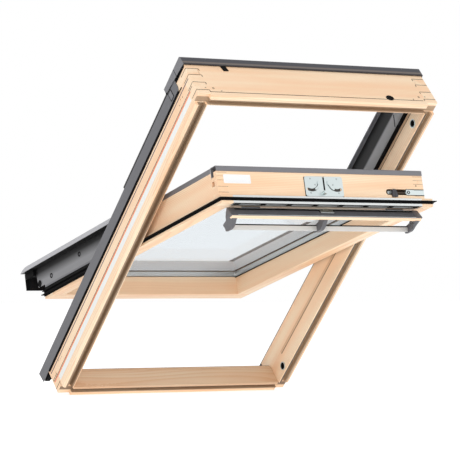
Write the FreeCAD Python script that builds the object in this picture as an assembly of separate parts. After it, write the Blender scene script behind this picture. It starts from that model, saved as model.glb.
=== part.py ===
"""Centre pivot roof window in pine, shown tilted open in a 45 degree roof.

The window is drawn standing upright and closed: X runs across it, Y runs from the
room out to the weather, and Z runs up the slope from the sill's outer face. The
sash is then swung open about its pivots, and the whole window leans back into
the roof. Millimetres throughout.
"""
import FreeCAD
import Part
import math
import os

V = FreeCAD.Vector

# Whole window and its use
WINDOW_WIDTH = 780.0
WINDOW_LENGTH = 1178.0
ROOF_PITCH = 45.0
OPEN_ANGLE = 31.0
CLEANING_ANGLE = 160.0
AIRING_ANGLE = 6.9

# Pine frame
JAMB_WIDTH = 36.2
HEAD_WIDTH = 32.7
SILL_WIDTH = 36.0
FRAME_DEPTH = 128.0
JAMB_INNER_STEP = 12.0
JAMB_SHOULDER = 18.0
SILL_DEPTH = 77.0
SILL_OUTER_DEPTH = 66.0
OUTER_LIP = 14.5
LINING_GROOVE = 13.5
GROOVE_DEPTH = 12.9
LIP_ROUNDING = 6.0
EDGE_ROUNDING = 2.5
GROOVE_ROUNDING = 1.5
LIP_END_ROUNDING = 5.0
STEP_LINE = 62.0
STEP_SET_BACK = 1.5
SILL_SLOPE_SET_BACK = 5.0
FINGER_EDGES = (27.0, 57.7, 88.0, 113.0)

# Foam strip let into the outer side of each jamb
STRIP_START = 26.5
STRIP_WIDTH = 16.9
STRIP_THICKNESS = 3.0
STRIP_LOWER_END = 40.0
STRIP_UPPER_GAP = 40.0

# Screw holes for the fixing brackets, in the outer side of each jamb
FIXING_RADIUS = 2.5
FIXING_LOW_DEPTH = 20.0
FIXING_TOP_DEPTH = 22.0
FIXING_Y = 73.0
FIXING_LOW_Z = 81.0
FIXING_TOP_GAP = 78.0

# Aluminium covers on the frame, as heights above the pine
SHEET = 1.6
SHEET_BEND = 3.0
SIDE_COVER_RISE = 9.3
SIDE_COVER_HEIGHT = 39.8
SIDE_COVER_RETURN = 18.0
COVER_TAIL = 49.0
TAIL_SLANT = 5.5
TONGUE_EXTRA = 4.5
TONGUE_LENGTH = 54.0
TONGUE_ROUNDING = 18.0
TONGUE_STEP = 2.0
PLUG_SET_IN = 3.0
PLUG_NECK = 28.0
CASING_RISE = 29.0
CASING_LIP = 31.0
CASING_LENGTH = 116.0
CASING_OVERHANG = 4.0
CASING_END_DROP = 31.0
CASING_TIP_DROP = 18.0
CASING_SEAT_SET_IN = 30.0
CASING_SEAT_WIDTH = 3.0
CASING_SEAT_DEPTH = 12.0
UPPER_PROFILE_FOOT = 75.0
UPPER_PROFILE_SLOPE = 26.0
UPPER_PROFILE_HEM = 3.0
UPPER_PROFILE_RISE = 26.8
UPPER_PROFILE_INSET = 49.0
UPPER_PROFILE_COVER_INSET = 62.0
UPPER_PROFILE_BACK_INSET = 6.0
UPPER_PROFILE_START = 111.0
GASKET_FACE = 61.2
GASKET_LIP = 2.6
GASKET_REACH = 13.5
GASKET_HEAD_LAP = 6.0
SILL_FLASHING_TAIL = 30.0
FLASHING_SIDE_PLAY = 1.0

# Pine sash
SASH_SIDE_GAP = 10.3
SASH_TOP_GAP = 13.0
SASH_BOTTOM_GAP = 10.0
SASH_FACE = 37.3
FLANGE_THICKNESS = 22.7
SIDE_FLANGE = 8.0
TOP_FLANGE = 24.0
BOTTOM_FLANGE = 8.0
STILE_WIDTH = 34.0
TOP_RAIL_WIDTH = 29.3
BOTTOM_RAIL_WIDTH = 45.0
SASH_TIMBER_RISE = 5.0
SASH_ARRIS = 3.0
SASH_FINGER_EDGES = (74.0, 90.0, 108.0, 119.0)
GLASS_SEAT = 93.4
GLASS_BITE = 13.0
SEAT_PLAY = 1.5
SASH_GROOVE = 9.0
SASH_GROOVE_DEPTH = 5.0

# Double glazing
PANE = 4.0
GLASS_GAP = 14.0
SPACER_WIDTH = 9.0
EDGE_SET_IN = 3.0

# Covers on the sash
SASH_COVER_RISE = 20.0
TOP_COVER_PROUD = 1.8
LOWER_COVER_FOOT = 75.0
COVER_SWEEP_GAP = 5.2
LOWER_COVER_HEIGHT = 13.0
LOWER_COVER_OVERHANG = 26.5
LOWER_COVER_START = 48.0
LOWER_COVER_TAIL = 67.0
SKIRT_TAIL = 9.5
SKIRT_TAIL_SLANT = 7.5
COVER_NOSE = 50.0
HOOD_TAIL = 71.0
HOOD_CHAMFER = 14.0
HOOD_WALL_LIFT = 7.0
HOOD_SIDE_PLAY = 3.0
SILL_CLEARANCE = 6.0
END_CAP_REACH = 9.5
END_CAP_WALL = 2.0
END_CAP_HEIGHT = 18.0
END_CAP_START = 12.0

# Rubber seals on the sash
SASH_FIN = 8.6
FIN_THICKNESS = 1.8
ROOT_PLAY = 1.5
LOWER_SEAL_GAP = 60.0

# Pivots
PIVOT_RISE = 13.0
PIN_RADIUS = 6.0
PIN_CLEARANCE = 0.06
PIN_PROUD = 3.0
SASH_PLATE = 3.0
SASH_PLATE_HALF = 45.0
SASH_PLATE_ROUNDING = 10.0
FRAME_EAR = 4.0
EAR_GAP = 6.5
EAR_HALF = 17.0
BASE_PLATE = 3.0
BASE_HALF = 58.0
BASE_ROUNDING = 6.0
BASE_SET_IN = 2.0

# Barrel bolt in the top rail and its bushings
BOLT_RADIUS = 5.0
BOLT_Y = 84.0
BOLT_SET_IN = 9.0
BOLT_TRAVEL = 28.0
BOLT_SLOT_LENGTH = 128.0
BOLT_SLOT_HEIGHT = 16.6
BOLT_SLOT_DEPTH = 17.5
BOLT_PLAY = 0.3
BOLT_HEAD_RADIUS = 6.8
BOLT_HEAD_LENGTH = 20.0
BOLT_HEAD_PLAY = 7.5
BOLT_HEAD_CHAMFER = 2.0
BOLT_GUIDE_LENGTH = 60.0
KNOB_WIDTH = 11.0
KNOB_SKEW = 7.0
KNOB_LAP = 9.5
KNOB_LIFT = 1.0
KNOB_HEIGHT = 6.0
KNOB_TOP = 7.0
KNOB_DROP = 15.0
KNOB_ROUNDING = 3.0
NECK_WIDTH = 5.0
NECK_SET_IN = 1.5
BUSHING_WALL = 3.0
BUSHING_DEPTH = 12.0
BUSHING_FLOOR = 2.0
BUSHING_RIM = 0.8
BUSHING_PLAY = 1.0
RELIEF_RADIUS = 8.0

# Lock in the middle of the top rail
LOCK_X = 3.0
LOCK_WIDTH = 124.0
LOCK_HEIGHT = 57.0
LOCK_OFF_CENTRE = -1.2
LOCK_PLATE = 2.0
LOCK_CORNER = 7.0
HOOK_ARC_X = 41.0
HOOK_ARC_Y = 15.2
HOOK_ARC_RADIUS = 26.0
HOOK_SLOT_WIDTH = 8.0
HOOK_SLOT_START = -116.0
HOOK_SLOT_END = -12.0
HOOK_START = -62.0
HOOK_PLAY = 1.0
HOOK_PROUD = 2.5
CLAW_RADIUS = 5.5
CENTRE_SLOT_WIDTH = 4.0
CENTRE_SLOT_LENGTH = 28.0
CENTRE_SLOT_GAP = 2.5
LATCH_RADIUS = 4.5
LATCH_LENGTH = 15.0
LATCH_OFFSET = 4.0
STRIKER_HALF = 34.0
STRIKER_HEIGHT = 28.0
STRIKER_PLATE = 3.0
STRIKER_REACH = 27.0
STRIKER_BAR = 4.0
STRIKER_SPREAD = 20.0

# Blank type plate
TYPE_PLATE_SET_IN = 20.5
TYPE_PLATE_WIDTH = 85.0
TYPE_PLATE_Y = 99.0
TYPE_PLATE_HEIGHT = 25.0
TYPE_PLATE_THICKNESS = 0.6
TYPE_PLATE_CORNER = 3.0

# Aluminium vent profile in the top flange
VENT_END_GAP = 28.5
VENT_WALL = 1.8
VENT_DEPTH = 12.0
VENT_SLOT_COUNT = 8
VENT_SLOT_PITCH = 83.0
VENT_SLOT_LENGTH = 17.0
VENT_SLOT_DEPTH = 5.0
VENT_SLOT_HEIGHT = 4.4

# Vent flap and control bar, drawn as far open as it goes. The flap leans out from its hinge.
FLAP_LEAN = 40.0
FLAP_HINGE_DROP = 11.3
FLAP_HINGE_GAP = 0.3
FLAP_END_GAP = 25.0
FLAP_SHELL_WIDTH = 35.0
FLAP_SHELL = 2.0
FLAP_BOARD_START = 7.0
FLAP_BOARD = 11.0
FLAP_ROUNDING = 2.5
FLAP_HINGE_RADIUS = 2.5
KNUCKLE_X = 234.0
KNUCKLE_LENGTH = 58.0
BAR_HEIGHT = 12.5
BAR_DEPTH = 8.0
BAR_ROUNDING = 2.5
BAR_FORWARD = -29.0
BAR_DOWN = -47.0
BAR_IN_BRACKET = 5.0
BRACKET_WIDTH = 21.0
BRACKET_PROUD = 0.8
BRACKET_HEAD = 2.0
BRACKET_BACK = 1.5
BRACKET_SOLE = 3.3
BRACKET_HEEL = 5.3
BRACKET_LIP = 2.3
BRACKET_TOE = 22.0
BRACKET_BEND = 30.0
BRACKET_THROAT = 14.0
BRACKET_WAIST = 9.0
BRACKET_INSTEP = 16.0
BRACKET_SIDE = 2.0
BRACKET_ROUNDING = 4.0
BRACKET_FOOT_WIDTH = 7.0
BRACKET_TAPER_START = 8.0
BRACKET_TAPER_END = -14.0
CENTRE_BRACKET_X = -6.0
CENTRE_BRACKET_HALF = 6.5
LINK_HALF = 21.0
LINK_FOOT = 20.0
LINK_SHOULDER = 9.0
LINK_TOP = 1.0
LINK_NECK_HALF = 8.0
LINK_THICKNESS = 2.0

# Places that follow from the sizes above
HALF = WINDOW_WIDTH / 2
JAMB_FACE = HALF - JAMB_WIDTH
HEAD_FACE = WINDOW_LENGTH - HEAD_WIDTH
JAMB_INNER_DEPTH = FRAME_DEPTH - JAMB_INNER_STEP
SIDE_COVER_TOP = FRAME_DEPTH + SIDE_COVER_RISE
SIDE_COVER_START = SIDE_COVER_TOP - SIDE_COVER_HEIGHT
CASING_TOP = FRAME_DEPTH + CASING_RISE
CASING_START_Z = WINDOW_LENGTH - CASING_LENGTH
UPPER_PROFILE_TOP = FRAME_DEPTH + UPPER_PROFILE_RISE
UPPER_PROFILE_KNEE = UPPER_PROFILE_FOOT + UPPER_PROFILE_SLOPE
SASH_TIMBER_TOP = FRAME_DEPTH + SASH_TIMBER_RISE
SASH_COVER_TOP = FRAME_DEPTH + SASH_COVER_RISE
LOWER_COVER_UNDERSIDE = SIDE_COVER_TOP + COVER_SWEEP_GAP
LOWER_COVER_TOP = LOWER_COVER_UNDERSIDE + LOWER_COVER_HEIGHT
PIVOT_Y = FRAME_DEPTH + PIVOT_RISE
PIVOT_Z = WINDOW_LENGTH / 2
FLANGE_X = JAMB_FACE - SASH_SIDE_GAP
STILE_X = FLANGE_X - SIDE_FLANGE
SIGHT_X = STILE_X - STILE_WIDTH
FLANGE_TOP = HEAD_FACE - SASH_TOP_GAP
FLANGE_BOTTOM = SILL_WIDTH + SASH_BOTTOM_GAP
RAIL_TOP = FLANGE_TOP - TOP_FLANGE
RAIL_BOTTOM = FLANGE_BOTTOM + BOTTOM_FLANGE
SIGHT_TOP = RAIL_TOP - TOP_RAIL_WIDTH
SIGHT_BOTTOM = RAIL_BOTTOM + BOTTOM_RAIL_WIDTH
FLANGE_BACK = SASH_FACE + FLANGE_THICKNESS
GLASS_OUTSIDE = GLASS_SEAT + 2 * PANE + GLASS_GAP
HOOD_FOOT = SILL_DEPTH + SHEET + SILL_CLEARANCE
BOLT_Z = RAIL_TOP - BOLT_SET_IN
LOCK_Y = (FLANGE_BACK + SASH_TIMBER_TOP) / 2 + LOCK_OFF_CENTRE
VENT_HALF = STILE_X - VENT_END_GAP
FLAP_HALF = STILE_X - FLAP_END_GAP
BRACKET_INNER = FLAP_HALF - BRACKET_WIDTH
BAR_HALF = BRACKET_INNER + BAR_IN_BRACKET
ORIGIN_DEPTH = (GROOVE_DEPTH + SILL_OUTER_DEPTH) / 2
UPPER_START_Z = PIVOT_Z + UPPER_PROFILE_START
LOWER_END_Z = PIVOT_Z - LOWER_COVER_START
HINGE_Y = SASH_FACE - FLAP_HINGE_RADIUS - FLAP_HINGE_GAP
HINGE_Z = RAIL_TOP - FLAP_HINGE_DROP


def arc_at(before, corner, after, radius):
    """Start, middle and end of the arc that rounds a corner."""
    back = (before - corner).normalize()
    on = (after - corner).normalize()
    half = back.getAngle(on) / 2
    inward = (back + on).normalize()
    centre = corner + inward * (radius / math.sin(half))
    reach = radius / math.tan(half)
    return [corner + back * reach, centre - inward * radius, corner + on * reach]


def outline(corners, place):
    """Closed wire through corners: (a, b) stays sharp and (a, b, r) is rounded to the radius r."""
    flat = [V(corner[0], corner[1], 0) for corner in corners]
    runs = []
    for i, corner in enumerate(corners):
        if len(corner) == 3:
            runs.append(arc_at(flat[i - 1], flat[i], flat[(i + 1) % len(flat)], corner[2]))
        else:
            runs.append([flat[i]])
    edges = []
    for i, run in enumerate(runs):
        here = [place(p.x, p.y) for p in run]
        if len(here) == 3:
            edges.append(Part.Arc(*here).toShape())
        following = runs[(i + 1) % len(runs)][0]
        ahead = place(following.x, following.y)
        if here[-1].distanceToPoint(ahead) > 1e-6:
            edges.append(Part.makeLine(here[-1], ahead))
    return Part.Wire(edges)


def along_x(corners_yz, x0, x1):
    """Profile drawn in Y and Z, drawn out across the window."""
    return Part.Face(outline(corners_yz, lambda a, b: V(x0, a, b))).extrude(V(x1 - x0, 0, 0))


def along_y(corners_xz, y0, y1):
    """Plan drawn in X and Z, drawn out through the depth."""
    return Part.Face(outline(corners_xz, lambda a, b: V(a, y0, b))).extrude(V(0, y1 - y0, 0))


def along_z(corners_xy, z0, z1):
    """Profile drawn in X and Y, drawn out up the slope."""
    return Part.Face(outline(corners_xy, lambda a, b: V(a, b, z0))).extrude(V(0, 0, z1 - z0))


def box(x0, x1, y0, y1, z0, z1):
    """Block between two corners."""
    return Part.makeBox(x1 - x0, y1 - y0, z1 - z0, V(x0, y0, z0))


def rod_x(radius, x0, x1, y, z):
    """Round bar across the window."""
    return Part.makeCylinder(radius, x1 - x0, V(x0, y, z), V(1, 0, 0))


def rod_z(radius, x, y, z0, z1):
    """Round bar up the slope."""
    return Part.makeCylinder(radius, z1 - z0, V(x, y, z0), V(0, 0, 1))


def mirrored(shape):
    """The same piece for the left-hand side."""
    return shape.mirror(V(0, 0, 0), V(1, 0, 0))


def sheet(points, thickness):
    """Closed outline of a folded sheet, thickened to the left of its run. A fold may carry a bend radius."""
    normals = []
    for start, end in zip(points, points[1:]):
        length = math.hypot(end[0] - start[0], end[1] - start[1])
        normals.append((-(end[1] - start[1]) / length, (end[0] - start[0]) / length))
    back = []
    for i, point in enumerate(points):
        first = normals[max(i - 1, 0)]
        second = normals[min(i, len(normals) - 1)]
        middle = (first[0] + second[0], first[1] + second[1])
        scale = thickness * 2 / (middle[0] ** 2 + middle[1] ** 2)
        place = (point[0] + middle[0] * scale, point[1] + middle[1] * scale)
        if len(point) == 3:
            turn = first[0] * second[1] - first[1] * second[0]
            inner = point[2] - math.copysign(1, turn) * thickness
            if inner > 0:
                place = place + (inner,)
        back.append(place)
    return points + back[::-1]


def turned_about_pivot(y, z, angle):
    """Where a point of the closed sash comes to when the sash has swung open."""
    a = math.radians(angle)
    dy = y - PIVOT_Y
    dz = z - PIVOT_Z
    return (PIVOT_Y + dy * math.cos(a) - dz * math.sin(a),
            PIVOT_Z + dy * math.sin(a) + dz * math.cos(a))


def fuse(shapes):
    """One solid from several that share faces."""
    whole = shapes[0]
    for shape in shapes[1:]:
        whole = whole.fuse(shape)
    return whole.removeSplitter()


def cut_all(shape, tools):
    """Take every tool out of a shape."""
    for tool in tools:
        shape = shape.cut(tool)
    return shape


frame_parts = {}
sash_parts = {}

# Frame: finger-jointed pine. The fingers of the jambs fill every other band of depth.
far = FRAME_DEPTH + 1


def finger_bands(first):
    """Depth bands of one member's fingers, from the groove floor outwards."""
    edges = (GROOVE_DEPTH,) + FINGER_EDGES + (FRAME_DEPTH,)
    return [(a, b) for i, (a, b) in enumerate(zip(edges, edges[1:])) if i % 2 == first]


def corner_cuts(z0, z1, first):
    """Blocks that leave only one member's fingers at its right-hand corner."""
    return [box(JAMB_FACE, HALF + 1, a, b, z0, z1) for a, b in finger_bands(first)]


lip = HALF - OUTER_LIP
groove_end = lip - LINING_GROOVE
strip_end = STRIP_START + STRIP_WIDTH
shoulder_x = HALF - JAMB_SHOULDER
step_x = JAMB_FACE + STEP_SET_BACK
jamb_profile = [
    (HALF, 0, LIP_ROUNDING), (HALF, FRAME_DEPTH), (shoulder_x, FRAME_DEPTH), (shoulder_x, JAMB_INNER_DEPTH),
    (step_x, JAMB_INNER_DEPTH), (step_x, STEP_LINE), (JAMB_FACE, STEP_LINE), (JAMB_FACE, 0, EDGE_ROUNDING),
    (groove_end, 0, GROOVE_ROUNDING), (groove_end, GROOVE_DEPTH), (lip, GROOVE_DEPTH), (lip, 0, GROOVE_ROUNDING)]
right_jamb = along_z(jamb_profile, 0, WINDOW_LENGTH)
strip_x = HALF - STRIP_THICKNESS
strip_top = WINDOW_LENGTH - STRIP_UPPER_GAP
strip_bed = box(strip_x, HALF + 1, STRIP_START, strip_end, STRIP_LOWER_END, strip_top)
jamb_cuts = [
    strip_bed,
    box(JAMB_FACE - 1, HALF + 1, -1, GROOVE_DEPTH, -1, SILL_WIDTH),
    box(JAMB_FACE - 1, HALF + 1, -1, GROOVE_DEPTH, HEAD_FACE, WINDOW_LENGTH + 1),
]
jamb_cuts += corner_cuts(HEAD_FACE, WINDOW_LENGTH + 1, 0)
sill_bands = [(a, min(b, SILL_OUTER_DEPTH)) for a, b in finger_bands(0) if a < SILL_OUTER_DEPTH]
jamb_cuts += [box(JAMB_FACE, HALF + 1, a, b, -1, SILL_WIDTH) for a, b in sill_bands]
right_jamb = cut_all(right_jamb, jamb_cuts)

# The bolt's bushings lie where the bolt comes at the airing and cleaning positions
bushing_radius = BOLT_RADIUS + BUSHING_PLAY + BUSHING_WALL
airing_y, airing_z = turned_about_pivot(BOLT_Y, BOLT_Z, AIRING_ANGLE)
cleaning_y, cleaning_z = turned_about_pivot(BOLT_Y, BOLT_Z, CLEANING_ANGLE)
bushing_places = [(airing_y, airing_z), (cleaning_y, cleaning_z)]
bushings = []
for by, bz in bushing_places:
    seat = rod_x(bushing_radius, JAMB_FACE - 1, JAMB_FACE + BUSHING_DEPTH, by, bz)
    right_jamb = right_jamb.cut(seat)
    body = rod_x(bushing_radius, JAMB_FACE - BUSHING_RIM, JAMB_FACE + BUSHING_DEPTH, by, bz)
    bore_end = JAMB_FACE + BUSHING_DEPTH - BUSHING_FLOOR
    bore = rod_x(BOLT_RADIUS + BUSHING_PLAY, JAMB_FACE - 2, bore_end, by, bz)
    bushings.append(body.cut(bore))
relief = rod_x(RELIEF_RADIUS, STILE_X + 1, JAMB_FACE + BUSHING_DEPTH, BOLT_Y, BOLT_Z)
right_jamb = right_jamb.cut(relief)

fixing_places = ((FIXING_LOW_Z, FIXING_LOW_DEPTH), (WINDOW_LENGTH - FIXING_TOP_GAP, FIXING_TOP_DEPTH))
fixings = [rod_x(FIXING_RADIUS, HALF - depth, HALF + 1, FIXING_Y, z) for z, depth in fixing_places]
right_jamb = cut_all(right_jamb, fixings)

left_jamb = along_z(jamb_profile, 0, WINDOW_LENGTH)
left_jamb = mirrored(cut_all(left_jamb, jamb_cuts + fixings))
frame_parts["frame_right_jamb"] = right_jamb
frame_parts["frame_left_jamb"] = left_jamb
frame_parts["frame_bolt_bushings"] = Part.makeCompound(bushings)
strip = box(strip_x, HALF, STRIP_START, strip_end, STRIP_LOWER_END, strip_top)
frame_parts["frame_insulation_strips"] = Part.makeCompound([strip, mirrored(strip)])

# Head and sill: their lips stop at the jambs with rounded ends, their fingers run through the jambs
lip_plan = [(-JAMB_FACE, GROOVE_DEPTH), (-JAMB_FACE, 0, LIP_END_ROUNDING), (JAMB_FACE, 0, LIP_END_ROUNDING),
            (JAMB_FACE, GROOVE_DEPTH)]


def lips(z_outer, side):
    """The two room-side lips of a cross member, one on each side of its lining groove."""
    z_lip = z_outer + side * OUTER_LIP
    z_bead = z_lip + side * LINING_GROOVE
    z_face = HEAD_FACE if side < 0 else SILL_WIDTH
    outer_lip = [(GROOVE_DEPTH, z_outer), (0, z_outer, LIP_ROUNDING), (0, z_lip, GROOVE_ROUNDING),
                 (GROOVE_DEPTH, z_lip)]
    inner_lip = [(GROOVE_DEPTH, z_bead), (0, z_bead, GROOVE_ROUNDING), (0, z_face, EDGE_ROUNDING),
                 (GROOVE_DEPTH, z_face)]
    plan = along_z(lip_plan, -1, WINDOW_LENGTH + 1)
    return [along_x(corners, -JAMB_FACE, JAMB_FACE).common(plan) for corners in (outer_lip, inner_lip)]


top = WINDOW_LENGTH
head = box(-HALF, HALF, GROOVE_DEPTH, FRAME_DEPTH, HEAD_FACE, top)
for a, b in finger_bands(1):
    slot = box(JAMB_FACE, HALF + 1, a, min(b, far), HEAD_FACE - 1, top + 1)
    head = head.cut(slot).cut(mirrored(slot))
frame_parts["frame_head"] = fuse([head] + lips(top, -1))

sill_face_top = SILL_WIDTH - STEP_SET_BACK
sill_inner_top = SILL_WIDTH - SILL_SLOPE_SET_BACK
sill_profile = [(GROOVE_DEPTH, 0), (SILL_OUTER_DEPTH, 0), (SILL_DEPTH, sill_inner_top),
                (STEP_LINE, sill_face_top), (STEP_LINE, SILL_WIDTH), (GROOVE_DEPTH, SILL_WIDTH)]
sill = along_x(sill_profile, -HALF, HALF)
for a, b in finger_bands(1):
    if a < SILL_OUTER_DEPTH:
        slot = box(JAMB_FACE, HALF + 1, a, b, -1, SILL_WIDTH + 1)
        sill = sill.cut(slot).cut(mirrored(slot))
sill_end = box(JAMB_FACE, HALF + 1, SILL_OUTER_DEPTH, far, -1, SILL_WIDTH + 1)
sill = sill.cut(sill_end).cut(mirrored(sill_end))
frame_parts["frame_sill"] = fuse([sill] + lips(0, 1))

# Aluminium side covers outside the jambs. Past the fold each one runs on as a tongue under the casing.
tongue_y = SIDE_COVER_START - TONGUE_EXTRA
tongue_end = CASING_START_Z + TONGUE_LENGTH
cover_edge = HALF - SIDE_COVER_RETURN
side_profile = sheet([(HALF + SHEET, tongue_y), (HALF + SHEET, SIDE_COVER_TOP, SHEET_BEND),
                      (cover_edge, SIDE_COVER_TOP)], SHEET)
side_plate = [(far + SIDE_COVER_RISE, -COVER_TAIL), (SIDE_COVER_START, -COVER_TAIL + TAIL_SLANT),
              (SIDE_COVER_START, CASING_START_Z - TONGUE_STEP), (tongue_y, CASING_START_Z - TONGUE_STEP, 1),
              (tongue_y, tongue_end, TONGUE_ROUNDING), (far + SIDE_COVER_RISE, tongue_end)]
right_cover = along_z(side_profile, -COVER_TAIL, tongue_end)
right_cover = right_cover.common(along_x(side_plate, cover_edge - 1, HALF + SHEET + 1))
fold_end = box(cover_edge - 1, HALF + SHEET + 1, SIDE_COVER_TOP - SHEET_BEND, far + SIDE_COVER_RISE,
               CASING_START_Z - 1, tongue_end + 1)
right_cover = right_cover.cut(fold_end)
frame_parts["frame_right_side_cover"] = right_cover
frame_parts["frame_left_side_cover"] = mirrored(right_cover)

# Black plugs that close the tails of the side covers and run up under the ends of the jambs
plug_tail = -COVER_TAIL + PLUG_SET_IN
cover_under = SIDE_COVER_TOP - SHEET
plug_outline = [(cover_under, plug_tail), (SIDE_COVER_START, plug_tail + TAIL_SLANT),
                (SIDE_COVER_START - PLUG_SET_IN, -PLUG_NECK), (SILL_OUTER_DEPTH + SHEET, -0.3), (cover_under, -0.3)]
plug = along_x(plug_outline, cover_edge, HALF - SHEET_BEND)
frame_parts["frame_cover_end_plugs"] = Part.makeCompound([plug, mirrored(plug)])

# Upper side profiles: a tall lining that stops the sash flange and reaches over its edge
profile_x = HALF - UPPER_PROFILE_INSET
profile_edge = HALF - UPPER_PROFILE_COVER_INSET
profile_under = UPPER_PROFILE_TOP - SHEET
hem_x = step_x - SHEET
profile_outline = sheet([(hem_x, UPPER_PROFILE_FOOT - UPPER_PROFILE_HEM), (hem_x, UPPER_PROFILE_FOOT),
                         (profile_x, UPPER_PROFILE_KNEE, SHEET_BEND), (profile_x, profile_under)], -SHEET)
lining = along_z(profile_outline, UPPER_START_Z, HEAD_FACE)
back_x = HALF - UPPER_PROFILE_BACK_INSET
top_sheet = along_z(sheet([(profile_edge, UPPER_PROFILE_TOP), (back_x, UPPER_PROFILE_TOP, SHEET_BEND),
                           (back_x, SIDE_COVER_TOP)], -SHEET), UPPER_START_Z, HEAD_FACE)
right_profile = fuse([lining, top_sheet])
left_profile = mirrored(right_profile)
right_profile = right_profile.cut(relief)
frame_parts["frame_right_upper_profile"] = right_profile
frame_parts["frame_left_upper_profile"] = left_profile

# Gasket under the profiles and across the head, which the sash flange closes against
lip_edge = JAMB_FACE - GASKET_REACH
lip_root = hem_x - GASKET_LIP
lip_top = UPPER_PROFILE_FOOT - UPPER_PROFILE_HEM
lip_back = GASKET_FACE + GASKET_LIP
lip_outline = [(hem_x, lip_top), (hem_x, GASKET_FACE), (lip_edge, GASKET_FACE), (lip_edge, lip_back),
               (lip_root, lip_back, GASKET_LIP), (lip_root, lip_top)]
side_lip = along_z(lip_outline, UPPER_START_Z, HEAD_FACE)
head_lip = box(1 - lip_edge, lip_edge - 1, GASKET_FACE, lip_back, FLANGE_TOP - GASKET_HEAD_LAP, HEAD_FACE)
frame_parts["frame_gasket"] = Part.makeCompound([side_lip, mirrored(side_lip), head_lip])

# Top casing over the head, folded down behind it, with end walls that narrow towards the sash
casing_half = HALF + CASING_OVERHANG
casing_back = WINDOW_LENGTH + CASING_OVERHANG
casing_outline = sheet([(CASING_TOP - CASING_LIP, casing_back), (CASING_TOP, casing_back, SHEET_BEND),
                        (CASING_TOP, CASING_START_Z)], -SHEET)
casing = along_x(casing_outline, -casing_half, casing_half)
end_wall = along_x([(CASING_TOP, CASING_START_Z), (CASING_TOP - CASING_TIP_DROP, CASING_START_Z),
                    (CASING_TOP - CASING_END_DROP, casing_back), (CASING_TOP, casing_back, SHEET_BEND)],
                   casing_half - SHEET, casing_half)
seat_x = HALF - CASING_SEAT_SET_IN
seat_z = WINDOW_LENGTH - CASING_SEAT_DEPTH
head_seat = box(-seat_x, seat_x, FRAME_DEPTH, CASING_TOP - SHEET, seat_z, seat_z + CASING_SEAT_WIDTH)
frame_parts["frame_top_casing"] = fuse([casing, end_wall, mirrored(end_wall), head_seat])

# Flashing over the sill
flashing_outline = sheet([(SILL_DEPTH, sill_inner_top), (SILL_OUTER_DEPTH, 0),
                          (SILL_OUTER_DEPTH, -SILL_FLASHING_TAIL)], SHEET)
flashing_x = JAMB_FACE - FLASHING_SIDE_PLAY
frame_parts["frame_sill_flashing"] = along_x(flashing_outline, -flashing_x, flashing_x)

# Pivot brackets screwed to the jambs, with an upright ear bored for the sash's pin
ear_x = STILE_X + SASH_PLATE + EAR_GAP
base_x = HALF - BASE_SET_IN
base_z0 = PIVOT_Z - BASE_HALF
base_z1 = PIVOT_Z + BASE_HALF
base = along_y([(ear_x, base_z0), (base_x, base_z0, BASE_ROUNDING), (base_x, base_z1, BASE_ROUNDING),
                (ear_x, base_z1)], FRAME_DEPTH, FRAME_DEPTH + BASE_PLATE)
ear = box(ear_x, ear_x + FRAME_EAR, FRAME_DEPTH, PIVOT_Y, PIVOT_Z - EAR_HALF, PIVOT_Z + EAR_HALF)
ear_round = rod_x(EAR_HALF, ear_x, ear_x + FRAME_EAR, PIVOT_Y, PIVOT_Z)
ear_floor = box(ear_x - 1, HALF, 0, FRAME_DEPTH, base_z0 - 1, base_z1 + 1)
bracket = fuse([base, ear, ear_round]).cut(ear_floor)
bracket = bracket.cut(rod_x(PIN_RADIUS + PIN_CLEARANCE, ear_x - 1, ear_x + FRAME_EAR + 1, PIVOT_Y, PIVOT_Z))
frame_parts["frame_right_pivot_bracket"] = bracket
frame_parts["frame_left_pivot_bracket"] = mirrored(bracket)

# Striker on the head, which the lock's hooks close on
striker_y0 = LOCK_Y - STRIKER_HEIGHT / 2
striker_y1 = LOCK_Y + STRIKER_HEIGHT / 2
striker_z = HEAD_FACE - STRIKER_PLATE
striker_plate = box(-STRIKER_HALF, STRIKER_HALF, striker_y0, striker_y1, striker_z, HEAD_FACE)
posts = [rod_z(STRIKER_BAR, side * STRIKER_SPREAD, LOCK_Y, HEAD_FACE - STRIKER_REACH, striker_z) for side in (-1, 1)]
striker = fuse([striker_plate] + posts)
striker.translate(V(LOCK_X, 0, 0))
frame_parts["frame_head_striker"] = striker

# Sash timber, finger-jointed at the corners. A flange on the room side carries the gasket groove.
groove_y0 = SASH_FACE + (FLANGE_THICKNESS - SASH_GROOVE) / 2
groove_y1 = groove_y0 + SASH_GROOVE
rebate_x = SIGHT_X + GLASS_BITE + SEAT_PLAY
stile_outline = [
    (SIGHT_X, SASH_FACE, SASH_ARRIS), (FLANGE_X, SASH_FACE, 1), (FLANGE_X, groove_y0),
    (FLANGE_X - SASH_GROOVE_DEPTH, groove_y0), (FLANGE_X - SASH_GROOVE_DEPTH, groove_y1), (FLANGE_X, groove_y1),
    (FLANGE_X, FLANGE_BACK), (STILE_X, FLANGE_BACK), (STILE_X, SASH_TIMBER_TOP), (rebate_x, SASH_TIMBER_TOP),
    (rebate_x, GLASS_SEAT), (SIGHT_X, GLASS_SEAT)]
stile_body = along_z(stile_outline, SIGHT_BOTTOM, SIGHT_TOP)
stile_run = along_z(stile_outline, RAIL_BOTTOM, RAIL_TOP)
finger_edges = SASH_FINGER_EDGES + (SASH_TIMBER_TOP,)
fingers = []
for i in (0, 2):
    for z0, z1 in ((RAIL_BOTTOM, SIGHT_BOTTOM), (SIGHT_TOP, RAIL_TOP)):
        band = box(SIGHT_X - 1, STILE_X, finger_edges[i], finger_edges[i + 1], z0, z1)
        fingers.append(stile_run.common(band))
slot_y0 = BOLT_Y - BOLT_SLOT_HEIGHT / 2
slot_y1 = BOLT_Y + BOLT_SLOT_HEIGHT / 2
slot_tail = STILE_X - BOLT_SLOT_LENGTH
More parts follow.
